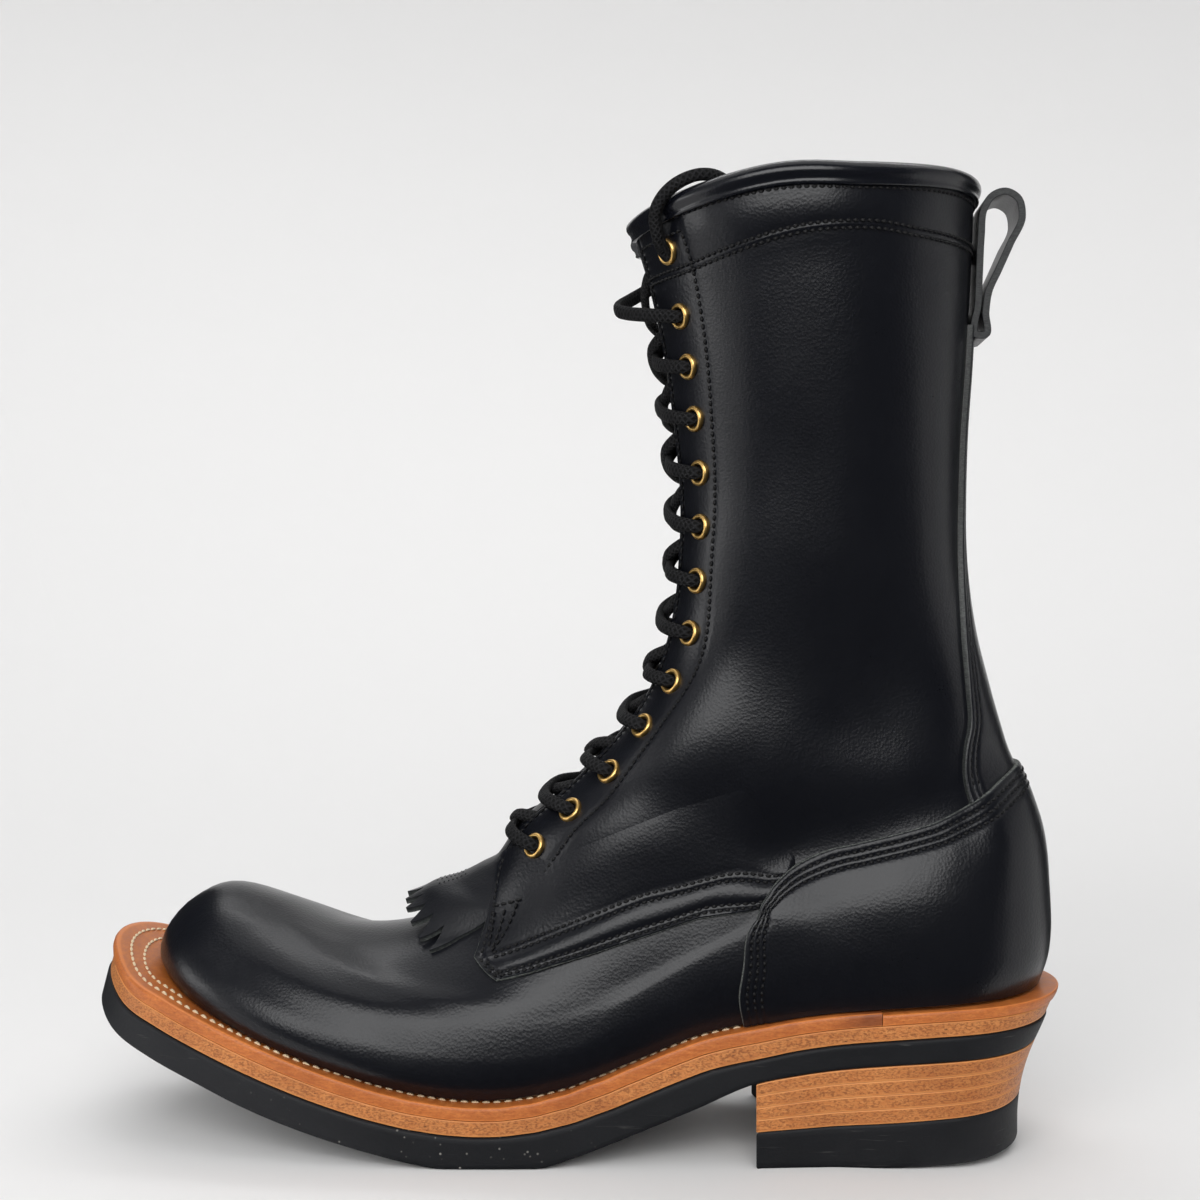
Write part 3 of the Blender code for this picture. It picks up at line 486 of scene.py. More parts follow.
def wall(outer, inner, keep=None, wrap=False):
    """Closed wall between two grids of points: the outer faces, the inner ones and a rim along every
    border, also round cells that are not kept."""
    rows, cols = outer.shape[:2]
    face = quads(rows, cols, wrap_cols=wrap)
    face = face.reshape(-1, 4) if keep is None else face[keep]
    count = rows * cols
    edge = np.concatenate([face[:, [k, (k + 1) % 4]] for k in range(4)])
    lone = edge[~np.isin(edge[:, 1] * count + edge[:, 0], edge[:, 0] * count + edge[:, 1])]
    rim = np.stack([lone[:, 1], lone[:, 0], lone[:, 0] + count, lone[:, 1] + count], axis=-1)
    faces = np.concatenate([face, face[:, ::-1] + count, rim])
    return np.concatenate([outer.reshape(-1, 3), inner.reshape(-1, 3)]), faces


def tube(rings):
    """Skin over a row of closed sections, each end closed by a fan to its middle point."""
    rows, cols = rings.shape[:2]
    middle = np.stack([rings[0].mean(axis=0), rings[-1].mean(axis=0)])
    points = np.concatenate([rings.reshape(-1, 3), middle])
    j = np.arange(cols)
    m = (j + 1) % cols
    first = np.stack([m, j, np.full(cols, rows * cols)], axis=-1)
    last = np.stack([j, m, np.full(cols, rows * cols + 1)], axis=-1)
    last[:, :2] += (rows - 1) * cols
    return points, [quads(rows, cols, wrap_cols=True).reshape(-1, 4), first, last]


def repeated(faces, count, size):
    """The faces of one small thing, numbered on for each of many things of the same number of points."""
    return (faces[None] + (np.arange(count) * size)[:, None, None]).reshape(-1, faces.shape[-1])


def circles(normal, guide, sides):
    """Unit circles square to each direction, an array of sides by directions; the guide sets where they
    start."""
    first = unit(np.cross(normal, np.array(guide)))
    second = np.cross(normal, first)
    turn = 2 * np.pi * np.arange(sides)[:, None, None] / sides
    return np.cos(turn) * first + np.sin(turn) * second


def plain(points):
    """Values for leather that is neither cut nor burnished anywhere."""
    return {"raw": np.zeros(len(points)), "burnish": np.zeros(len(points))}


def volume_of(points, faces):
    """Signed volume inside closed faces: the sum over their triangles of the box product of the corners."""
    total = 0.0
    for group in faces:
        for k in range(1, group.shape[1] - 1):
            a, b, c = points[group[:, 0]], points[group[:, k]], points[group[:, k + 1]]
            total += np.einsum("ij,ij->", a, np.cross(b, c))
    return total


def make(name, points, faces, finish, nodes=(), marks=None, face_finish=None, crease=40.0):
    """A piece of the boot: a mesh in the row frame with smooth faces, sharp edges over an angle, and
    values on its points for its finish to read. It rides on the boot and stands for the named solids."""
    faces = faces if isinstance(faces, list) else [faces]
    points = (np.asarray(points, float) - ORIGIN) * MM
    if volume_of(points, faces) < 0:
        faces = [group[:, ::-1] for group in faces]
    used = np.unique(np.concatenate([group.ravel() for group in faces]))
    number = np.full(len(points), -1)
    number[used] = np.arange(len(used))
    faces = [number[group] for group in faces]
    mesh = bpy.data.meshes.new(name)
    mesh.vertices.add(len(used))
    mesh.vertices.foreach_set("co", points[used].ravel())
    mesh.loops.add(sum(group.size for group in faces))
    corners = np.concatenate([group.ravel() for group in faces])
    mesh.loops.foreach_set("vertex_index", corners.astype(np.int32))
    sizes = np.concatenate([np.full(len(group), group.shape[1]) for group in faces])
    mesh.polygons.add(len(sizes))
    mesh.polygons.foreach_set("loop_start", (np.cumsum(sizes) - sizes).astype(np.int32))
    mesh.update(calc_edges=True)
    mesh.polygons.foreach_set("use_smooth", np.ones(len(sizes), bool))
    for title, values in (marks or {}).items():
        layer_of = mesh.attributes.new(title, "FLOAT", "POINT")
        layer_of.data.foreach_set("value", np.asarray(values, float).ravel()[used].astype(np.float32))
    finishes = finish if isinstance(finish, (list, tuple)) else [finish]
    for paint in finishes:
        mesh.materials.append(paint)
    if face_finish is not None:
        mesh.polygons.foreach_set("material_index", face_finish.astype(np.int32))
    mesh.set_sharp_from_angle(angle=np.radians(crease))
    mesh.validate()
    thing = bpy.data.objects.new(name, mesh)
    bpy.context.scene.collection.objects.link(thing)
    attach(thing, "root")
    if nodes:
        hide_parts(*nodes)
    return thing


class Value:
    """A socket of a shader; sums, differences and products of it add Math nodes."""

    def __init__(self, paint, socket):
        self.paint = paint
        self.socket = socket

    def math(self, operation, first, second):
        return self.paint.node("ShaderNodeMath", {"operation": operation}, {0: first, 1: second})

    def __add__(self, other):
        return self.math("ADD", self, other)

    def __radd__(self, other):
        return self.math("ADD", other, self)

    def __sub__(self, other):
        return self.math("SUBTRACT", self, other)

    def __rsub__(self, other):
        return self.math("SUBTRACT", other, self)

    def __mul__(self, other):
        return self.math("MULTIPLY", self, other)

    def __rmul__(self, other):
        return self.math("MULTIPLY", other, self)


class Finish:
    """A material with one Principled shader and a short way to add nodes to it."""

    def __init__(self, name, **fixed):
        self.material = bpy.data.materials.new(name)
        self.material.use_nodes = True
        self.tree = self.material.node_tree
        self.shader = self.tree.nodes["Principled BSDF"]
        self.set(**fixed)
        self.place = self.node("ShaderNodeTexCoord", {}, {}, "Object")

    def node(self, kind, settings, inputs, output=0):
        """A node of any kind: its settings first, then the values or links of its sockets."""
        made = self.tree.nodes.new(kind)
        for key, value in settings.items():
            setattr(made, key, value)
        for key, value in inputs.items():
            self.put(made.inputs[key], value)
        return Value(self, made.outputs[output])

    def put(self, socket, value):
        """Link a value to a socket or set the socket's own number or colour."""
        if isinstance(value, Value):
            self.tree.links.new(value.socket, socket)
        elif isinstance(value, (tuple, list)) and len(value) == 3 and socket.type == "RGBA":
            socket.default_value = (*value, 1.0)
        else:
            socket.default_value = value

    def set(self, **values):
        """Set or link sockets of the shader, written with underscores for spaces."""
        for key, value in values.items():
            self.put(self.shader.inputs[key.replace("_", " ").title().replace("Ior", "IOR")], value)

    def mark(self, name):
        """A value that the piece carries on its points."""
        return self.node("ShaderNodeAttribute", {"attribute_name": name}, {}, "Fac")

    def noise(self, scale, detail=3.0, rough=0.55, stretch=None):
        """Cloudy noise on the piece's own coordinates, stretched where a grain has a direction."""
        vector = self.place
        if stretch:
            vector = self.node("ShaderNodeMapping", {}, {"Vector": vector, "Scale": stretch})
        inputs = {"Vector": vector, "Scale": scale, "Detail": detail, "Roughness": rough}
        return self.node("ShaderNodeTexNoise", {}, inputs, "Fac")

    def cells(self, scale):
        """Distance inside cells scattered over the piece."""
        inputs = {"Vector": self.place, "Scale": scale}
        return self.node("ShaderNodeTexVoronoi", {"feature": "F1"}, inputs, "Distance")

    def ramp(self, value, low, high, start=0.0, end=1.0):
        """A value moved smoothly from one range to another and held there."""
        return self.node(
            "ShaderNodeMapRange", {"interpolation_type": "SMOOTHSTEP", "clamp": True},
            {"Value": value, "From Min": low, "From Max": high, "To Min": start, "To Max": end},
        )

    def mix(self, share, first, second):
        """Colour between two colours."""
        return self.node("ShaderNodeMix", {"data_type": "RGBA"}, {0: share, 6: first, 7: second}, 2)

    def axis(self, name):
        """Place along an axis, in metres."""
        return self.node("ShaderNodeSeparateXYZ", {}, {0: self.place}, name)

    def bump(self, height, strength, distance):
        """Relief of the surface, fed to the shader's normal."""
        self.set(normal=self.node(
            "ShaderNodeBump", {}, {"Strength": strength, "Distance": distance, "Height": height}, "Normal",
        ))


BLACK = (0.0031, 0.0035, 0.0054)
RAW_EDGE = (0.085, 0.092, 0.085)
BURNISH = (0.022, 0.009, 0.005)
WORN = (0.13, 0.030, 0.010)


def leather_finish(name, roughness, coat, grain=1.0):
    """Smooth black leather: faint clouding of colour and gloss, fine pebble grain, fibrous grey where it
    is cut."""
    f = Finish(name, coat_weight=coat, coat_roughness=0.18, specular_ior_level=0.36)
    cloud = f.noise(45.0, 4.0)
    fine = f.noise(1500.0, 2.0)
    fibre = f.noise(900.0, 3.0, 0.7, (1.0, 1.0, 3.0))
    raw = f.mark("raw")
    near_welt = f.mark("burnish")
    body = f.mix(cloud, BLACK, tuple(1.35 * c for c in BLACK))
    body = f.mix(near_welt * f.ramp(cloud, 0.3, 0.7, 0.45, 1.0), body, BURNISH)
    cut = f.mix(f.ramp(fibre, 0.35, 0.7), tuple(0.35 * c for c in RAW_EDGE), tuple(1.9 * c for c in RAW_EDGE))
    f.set(base_color=f.mix(raw, body, cut))
    f.set(roughness=f.ramp(cloud, 0.25, 0.75, roughness - 0.02, roughness + 0.03) + 0.06 * fine + 0.4 * raw)
    pebble = f.cells(1100.0) * 0.9 + fine * 0.5 + f.noise(420.0, 2.0) * 0.35
    f.bump(pebble * (1.0 - raw) + fibre * raw * 4.0, 0.10 * grain, 0.0006)
    return f.material


def flesh_finish():
    """Rough flesh side of the leather inside the boot."""
    f = Finish("flesh_side", specular_ior_level=0.25)
    nap = f.noise(700.0, 4.0, 0.7)
    cloud = f.noise(40.0, 3.0)
    f.set(base_color=f.mix(cloud, (0.030, 0.027, 0.025), (0.060, 0.053, 0.047)))
    f.set(roughness=0.80 + 0.15 * nap)
    f.bump(nap, 0.35, 0.0006)
    return f.material


def edge_finish(name, pale, mid, dark, flecks, gloss):
    """Cut and burnished sole leather: layers of fibre along the edge, dark flecks, pale lines at the layer's
    rims; the one just under the top rim is partly a painted highlight along that rim."""
    f = Finish(name, coat_weight=gloss, coat_roughness=0.25, specular_ior_level=0.3)
    level = f.mark("level")
    cloud = f.noise(55.0, 4.0)
    fibre = f.noise(650.0, 5.0, 0.65, (0.45, 0.45, 2.2))
    grit = f.noise(2100.0, 2.0, 0.6, (0.5, 0.5, 1.0))
    spot = f.noise(1500.0, 2.0, 0.6, (0.4, 0.4, 1.0))
    inside = f.ramp(level, 0.08, 0.20) * f.ramp(level, 0.97, 0.86)
    body = f.mix(f.ramp(fibre, 0.3, 0.7), mid, pale)
    body = f.mix(f.ramp(cloud, 0.35, 0.75, 0.0, 0.45), body, dark)
    grain = f.ramp(grit + 0.3 * fibre, 0.56, 0.80) * inside
    body = f.mix(grain * (0.75 * flecks), body, tuple(0.75 * c for c in dark))
    fleck = f.ramp(spot + 0.25 * grit, 0.78, 0.90) * inside
    body = f.mix(fleck * (0.8 * flecks), body, tuple(0.22 * c for c in dark))
    body = f.mix(f.mark("worn") * f.ramp(cloud, 0.2, 0.6, 0.6, 1.0), body, WORN)
    # pale line at the lower rim, and a pale band just under the top rim that is partly a painted highlight
    line = f.ramp(level, 0.09, 0.04) + f.ramp(level, 0.92, 0.95) * f.ramp(level, 0.995, 0.975)
    body = f.mix(line * 0.6, body, tuple(min(1.0, 1.25 * c) for c in pale))
    f.set(base_color=body)
    f.set(roughness=f.ramp(fibre, 0.2, 0.8, 0.40, 0.58))
    f.bump(grit + fibre * 0.7 - fleck * 1.2, 0.16, 0.0004)
    return f.material


def rubber_finish():
    """Matte black rubber with fine scratches, and pale dust that gathers near the floor under the
    forefoot."""
    f = Finish("black_rubber", specular_ior_level=0.32)
    cloud = f.noise(60.0, 4.0)
    skin = f.noise(900.0, 3.0)
    scratch = f.ramp(f.noise(260.0, 2.0, 0.5, (0.25, 0.25, 3.5)), 0.66, 0.74)
    speck = f.ramp(f.cells(420.0), 0.19, 0.08) * f.ramp(f.noise(130.0, 2.0), 0.47, 0.62)
    low = f.ramp(f.axis("Z"), 0.026, 0.003) * f.ramp(f.axis("X"), 0.02, -0.03)
    dust = speck * low + scratch * 0.18 * f.ramp(cloud, 0.4, 0.7)
    body = f.mix(cloud, (0.0050, 0.0055, 0.0070), (0.0105, 0.0112, 0.0135))
    f.set(base_color=f.mix(dust, body, (0.24, 0.23, 0.21)))
    f.set(roughness=0.52 + 0.16 * skin)
    f.bump(skin * 0.6 + scratch * 0.6, 0.18, 0.0005)
    return f.material


def brass_finish():
    """Bright brass with a little unevenness in its polish."""
    f = Finish("eyelet_brass", metallic=1.0)
    cloud = f.noise(500.0, 2.0)
    f.set(base_color=f.mix(cloud, (0.83, 0.50, 0.15), (0.93, 0.63, 0.24)))
    f.set(roughness=0.30 + 0.12 * cloud)
    return f.material


def lace_finish():
    """Braided black cord: ribs along it crossed by slanting yarns, from the values its points carry; the
    grooves between the yarns are painted darker as shade.
    """
    f = Finish("lace_cord", specular_ior_level=0.22)
    along = f.mark("along")
    around = f.mark("around")
    left = f.node("ShaderNodeMath", {"operation": "SINE"}, {0: along * 3.4 + around * 6.0})
    right = f.node("ShaderNodeMath", {"operation": "SINE"}, {0: along * 3.4 - around * 6.0})
    yarn = f.node("ShaderNodeMath", {"operation": "MAXIMUM"}, {0: left, 1: right})
    fuzz = f.noise(1600.0, 2.0)
    # darker colour in the grooves between yarns is painted shade
    f.set(base_color=f.mix(f.ramp(yarn, -0.2, 0.9), (0.0016, 0.0016, 0.0019), (0.0095, 0.0095, 0.0105)))
    f.set(roughness=0.66 + 0.2 * fuzz)
    f.bump(yarn + fuzz * 0.5, 0.5, 0.0005)
    return f.material


def thread_finish(name, dark, light, roughness):
    """Waxed sewing thread, its colour, gloss and relief varied by fine noise."""
    f = Finish(name, specular_ior_level=0.32)
    twist = f.noise(1800.0, 2.0)
    f.set(base_color=f.mix(twist, dark, light))
    f.set(roughness=roughness + 0.15 * twist)
    f.bump(twist, 0.3, 0.0003)
    return f.material


BLACK_LEATHER = leather_finish("black_leather", 0.27, 0.06)
KILTIE_LEATHER = leather_finish("kiltie_leather", 0.38, 0.04, 1.2)
BINDING_LEATHER = leather_finish("binding_leather", 0.20, 0.25, 0.6)
FLESH = flesh_finish()
WELT_LEATHER = edge_finish(
    "welt_leather", (0.52, 0.165, 0.036), (0.39, 0.104, 0.021), (0.21, 0.046, 0.011), flecks=0.35, gloss=0.18,
)
STACK_LEATHER = edge_finish(
    "stacked_leather", (0.54, 0.222, 0.066), (0.44, 0.150, 0.040), (0.25, 0.073, 0.020),
    flecks=1.0, gloss=0.10,
)
INSOLE_LEATHER = edge_finish(
    "insole_leather", (0.40, 0.27, 0.16), (0.33, 0.21, 0.12), (0.20, 0.12, 0.06), flecks=0.25, gloss=0.0,
)
RUBBER = rubber_finish()
BRASS = brass_finish()
LACE = lace_finish()
BLACK_THREAD = thread_finish("black_thread", (0.0016, 0.0016, 0.0020), (0.0050, 0.0050, 0.0058), 0.52)
CREAM_THREAD = thread_finish("cream_thread", (0.52, 0.38, 0.22), (0.78, 0.66, 0.47), 0.60)


def along_line(points):
    """Distance along a row of points, from its first."""
    return np.r_[0.0, np.cumsum(np.linalg.norm(np.diff(points, axis=0), axis=1))]


def read_along(place, length, rows):
    """Rows of three values read at distances along a line."""
    return np.stack([np.interp(place, length, rows[:, k]) for k in range(3)], axis=-1)


stitch_rows = {"black": [], "cream": []}


def stitch(kind, path, normal, pitch=2.3, share=0.80, thick=0.48, rise=0.30):
    """Remember a row of stitches along a path: equal steps along it, each a thread that comes up, lies
    over the leather and goes down again."""
    length = along_line(path)
    count = max(1, int(length[-1] / pitch))
    middle = (np.arange(count) + 0.5) * length[-1] / count
    half = 0.5 * share * length[-1] / count
    spot = read_along(middle, length, path)
    ahead = read_along(middle + half, length, path)
    up = unit(read_along(middle, length, normal))
    stitch_rows[kind].append((spot, unit(ahead - spot), up, half, thick, rise))


def sew(name, kind, finish):
    """All remembered stitches of a kind as one mesh: each is a bent bar of five-sided sections whose
    radius and height follow a half circle from end to end."""
    rows, cols = 6, 5
    size = rows * cols
    place = np.linspace(-1, 1, rows)
    round_off = np.sqrt(np.clip(1.04 - place ** 2, 0.0, 1.0))
    turn = 2 * np.pi * np.arange(cols)[:, None, None] / cols
    blocks = []
    for spot, along, up, half, thick, rise in stitch_rows[kind]:
        ring = np.cos(turn) * np.cross(along, up) + 0.8 * np.sin(turn) * up
        height = rise * (round_off * 1.6 - 0.6)
        middle = spot + place[:, None, None] * half * along + height[:, None, None] * up
        bar = middle[:, None] + (thick * round_off)[:, None, None, None] * ring
        blocks.append(bar.transpose(2, 0, 1, 3))
    points = np.concatenate(blocks)
    bars = repeated(quads(rows, cols, wrap_cols=True).reshape(-1, 4), len(points), size)
    ends = repeated(np.stack([np.arange(cols)[::-1], np.arange(cols) + size - cols]), len(points), size)
    make(name, points.reshape(-1, 3), [bars, ends], finish, crease=60.0)


def slab(name, x, y, rows, place, spine, finish, nodes):
    """A layer of the sole: a profile of rows, each with a share of the way to the spine, an inset and a
    level, carried round a closed outline, with the two spine rows closing top and bottom."""
    nx, ny = inward(x, y)
    grid = []
    levels = []
    for share, into, level in rows:
        px = x + into * nx
        py = y + into * ny
        px = px + share * (spine[0] - px)
        py = py + share * (spine[1] - py)
        grid.append(place(px, py, level))
        levels.append(np.full(len(x), level))
    faces = quads(len(rows), len(x), wrap_cols=True).reshape(-1, 4)
    marks = {"level": np.stack(levels)}
    make(name, np.stack(grid).reshape(-1, 3), faces, finish, nodes, marks, crease=50.0)


def sole_rows(bevel, under):
    """Profile of a sole layer from the middle of its top over the rim to the middle underneath."""
    top = [(1.0, 0.0, 1.0), (0.6, 2.0, 1.0), (0.2, 2.0, 1.0), (0.0, 2.0, 1.0)]
    rim = [(0.0, bevel, 1.0), (0.0, 0.3 * bevel, 0.97)]
    side = [(0.0, 0.0, level) for level in np.linspace(0.92, under, 8)]
    low = [(0.0, 0.3 * bevel, under * 0.35), (0.0, bevel, 0.0), (0.0, 2.0 + bevel, 0.0)]
    return top + rim + side + low + [(0.2, 2.0, 0.0), (0.6, 2.0, 0.0), (1.0, 0.0, 0.0)]


def sole_pieces():
    """Outsole and midsole, then what lies on them and the heel under them."""
    t = np.linspace(-np.pi, np.pi, 361)[:-1] + np.pi / 360
    x, y = outline(t)
    spine_x = np.clip(x, TOE_X + 46.0, REAR_X - 34.0)
    spine = (spine_x, curve(SOLE["x"], SOLE["middle_y"], spine_x))

    def between(low, high, crown=0.0):
        def place(px, py, level):
            point = heel_taper(layer(px, py, low + (high - low) * level), py)
            if crown and level == 0.0:
                edge = np.abs(py - curve(SOLE["x"], SOLE["middle_y"], px)) / 46.0
                point[..., 2] += crown * edge ** 6 * ease(BREAST_X + 6, BREAST_X - 24, px)
            return point
        return place

    rubber = between(0.0, OUTSOLE, TREAD_CROWN)
    slab("outsole_rubber", x, y, sole_rows(0.9, 0.07), rubber, spine, RUBBER, ["outsole"])
    nx, ny = inward(x, y)
    leather = between(MIDSOLE_LOW, MIDSOLE_LOW + MIDSOLE)
    slab("midsole_leather", x + MIDSOLE_IN * nx, y + MIDSOLE_IN * ny, sole_rows(0.2, 0.06), leather, spine,
         STACK_LEATHER, ["midsole"])
    welt_pieces()
    welt_stitches()
    footbed_piece()
    heel_pieces()


# section of the welt and the rand: share of its breadth in from the edge, share of its height
WELT_PROFILE = (
    (1.0, 1.0), (0.5, 1.0), (0.22, 1.0), (0.06, 0.99), (0.02, 0.965), (0.0, 0.90), (-0.012, 0.7),
    (-0.014, 0.45), (0.0, 0.12), (0.004, 0.03), (0.03, 0.0), (0.5, 0.0), (1.0, 0.0),
)


def welt_pieces():
    """Welt round the forefoot and rand round the heel: a profile carried along the sole outline between
    the two butt joints, reaching further in across the toe."""
    joint = turn_at(BUTT_X)
    for name, node, turn, top in (
        ("welt_strip", "welt", np.linspace(-joint + 0.001, joint - 0.001, 300), WELT_TOP),
        ("rand_strip", "heel_rand", np.linspace(joint + 0.001, 2 * np.pi - joint - 0.001, 120), RAND_TOP),
    ):
        around = (turn + np.pi) % (2 * np.pi) - np.pi
        x, y, in_x, in_y = outline_in(around)
        deep = 10.0 + 18.0 * ease(1.1, 0.5, np.abs(around))
        rings = []
        for share, level in WELT_PROFILE:
            px, py = x + share * deep * in_x, y + share * deep * in_y
            rings.append(heel_taper(layer(px, py, WELT_LOW + (top - WELT_LOW) * level), py))
        points, faces = tube(np.stack(rings, axis=1))
        levels = np.tile([level for _, level in WELT_PROFILE], len(turn))
        worn = ease(joint - 0.13, joint - 0.01, np.abs(turn)) * (node == "welt")
        worn = np.repeat(worn, len(WELT_PROFILE))
        marks = {"level": np.r_[levels, 0.5, 0.5], "worn": np.r_[worn, 0.8, 0.8]}
        make(name, points, faces, WELT_LEATHER, [node], marks, crease=50.0)


def welt_stitches():
    """Cream thread on the welt: one row all round and a second one inside it across the toe."""
    for into, reach in ((3.6, turn_at(BUTT_X) - 0.02), (8.2, 0.62)):
        t = np.linspace(-reach, reach, 400)
        x, y, in_x, in_y = outline_in(t)
        extra = into + 1.2 * ease(1.0, 0.3, np.abs(t)) + 2.2 * ease(-92.0, -62.0, x)
        x, y = x + extra * in_x, y + extra * in_y
        path = heel_taper(layer(x, y, WELT_TOP), y)
        higher = heel_taper(layer(x, y, WELT_TOP + 1.0), y)
        stitch("cream", path, unit(higher - path), 3.3, 0.74, 0.52, 0.22)


def footbed_piece():
    """Footbed inside the upper: the feather line moved in past the wall, and a filler from there down to
    the welt."""
    wide = np.linspace(-np.pi, np.pi, 241)[:-1]
    foot = section(wide, np.zeros_like(wide))
    x, y = foot[:, 0], foot[:, 1]
    nx, ny = inward(x, y)
    x, y = x + (WALL + 1.0) * nx, y + (WALL + 1.0) * ny
    spine_x = np.clip(x, -100.0, 112.0)
    spine = (spine_x, np.interp(spine_x, SOLE["x"], SOLE["middle_y"]))
    rows = [
        (1.0, 0.0, 1.0), (0.7, 0.0, 1.0), (0.4, 0.0, 1.0), (0.15, 0.0, 1.0), (0.0, 0.8, 1.0), (0.0, 0.0, 0.9),
        (0.0, 0.0, 0.0), (0.4, 0.0, 0.0), (1.0, 0.0, 0.0),
    ]
    length = np.linspace(TOE_X, REAR_X, 400)
    lines = [layer(length, 0.0, depth) for depth in (WELT_LOW + 0.8, WELT_TOP + 3.6)]

    def place(px, py, level):
        low, high = (np.interp(px, line[:, 0], line[:, 2]) for line in lines)
        return np.stack([px, py, low + (high - low) * level], axis=-1)

    slab("footbed", x, y, rows, place, spine, INSOLE_LEATHER, ["insole"])


def heel_pieces():
    """Top piece and stacked lifts of the heel, each a slab round the heel's outline with a hollowed
    breast."""
    turn = turn_at(BREAST_X)
    half = np.linspace(turn, 2 * np.pi - turn, 170)
    sx, sy = outline((half + np.pi) % (2 * np.pi) - np.pi)
    across = np.linspace(0, 1, 26)[1:-1]
    bx = sx[-1] + (sx[0] - sx[-1]) * across + BREAST_CURVE * (1 - (2 * across - 1) ** 2)
    by = sy[-1] + (sy[0] - sy[-1]) * across
    x, y = np.r_[sx, bx], np.r_[sy, by]
    spine = (np.clip(x, BREAST_X + 22.0, REAR_X - 34.0), 0.0 * y)

    def lift_line(share, px):
        top_piece = TOPLIFT + TOPLIFT_SLOPE * (px - BREAST_X)
        return top_piece + (tread(px)[0] - top_piece) * share

    def floor_line(px):
        return HEEL_ROCK * np.clip((px - 92.0) / 52.0, 0, 1) ** 1.6

    def between(low, high):
        def place(px, py, level):
            z = low(px) + (high(px) - low(px)) * level
            return heel_taper(np.stack([px, py, z], axis=-1), py)
        return place

    rubber = between(floor_line, lambda px: lift_line(0.0, px) - 0.08)
    slab("heel_rubber", x, y, sole_rows(0.6, 0.06), rubber, spine, RUBBER, ["heel_toplift"])
    for k in range(LIFTS):
        low, high = k / LIFTS, (k + 1) / LIFTS
        lift = between(lambda px: lift_line(low, px) + 0.02, lambda px: lift_line(high, px) - 0.06)
        slab("heel_leather_%d" % (k + 1), x, y, sole_rows(0.12, 0.08), lift, spine, STACK_LEATHER,
             ["heel_lift_%d" % (k + 1)])


def even_rings(start, end, count, angle=1.1):
    """Ring numbers at equal distances up the flank of the boot."""
    fine = np.linspace(start, end, 600)
    length = along_line(section(np.full(600, angle), fine))
    return np.interp(np.linspace(0, length[-1], count), length, fine)


def upright(angle, ring, free):
    """Angles moved so that below the throat the columns of the flanks stand upright in side view and do
    not slant with the rings: the place along the ring goes back to where the column has it at the throat,
    with a weight that grows from the facings to the middle of the flank."""
    turn = from_front(angle)
    s = (1 - np.cos(turn)) / 2
    low = np.minimum(ring, THROAT_RING)
    front, back = (ring_value(name, low) for name in ("front_x", "back_x"))
    front_t, back_t = (ring_value(name, THROAT_RING) for name in ("front_x", "back_x"))
    move = (front_t + (back_t - front_t) * s - front - (back - front) * s) / (back - front)
    start = (1 - np.cos(free)) / 2
    s = s + move * ease(start, 0.5, s) * ease(1.0, 0.75, s)
    turned = np.arccos(np.clip(1 - 2 * s, -1, 1))
    return np.where(turn > free, np.where(angle > np.pi, 2 * np.pi - turned, turned), angle)


def stitch_dip(angle, level):
    """How far the leather is drawn in along the facings' stitch rows and the top band's pair, with a
    small puff between that pair."""
    dip = np.zeros_like(angle)
    for line, lowest in ((throat_angle(level, FACING_STITCH), 9.2), (facing_angle(level), 8.4)):
        away = (from_front(angle) - line) * ring_value("front_w", level)
        dip = dip - 0.30 * np.exp(-(away / 0.75) ** 2) * (level > lowest)
    above = (level - band_ring(angle)) * BAND_RING_STEP
    return dip - 0.30 * np.exp(-((np.abs(above) - 1.1) / 0.6) ** 2) + 0.15 * np.exp(-(above / 0.8) ** 2)


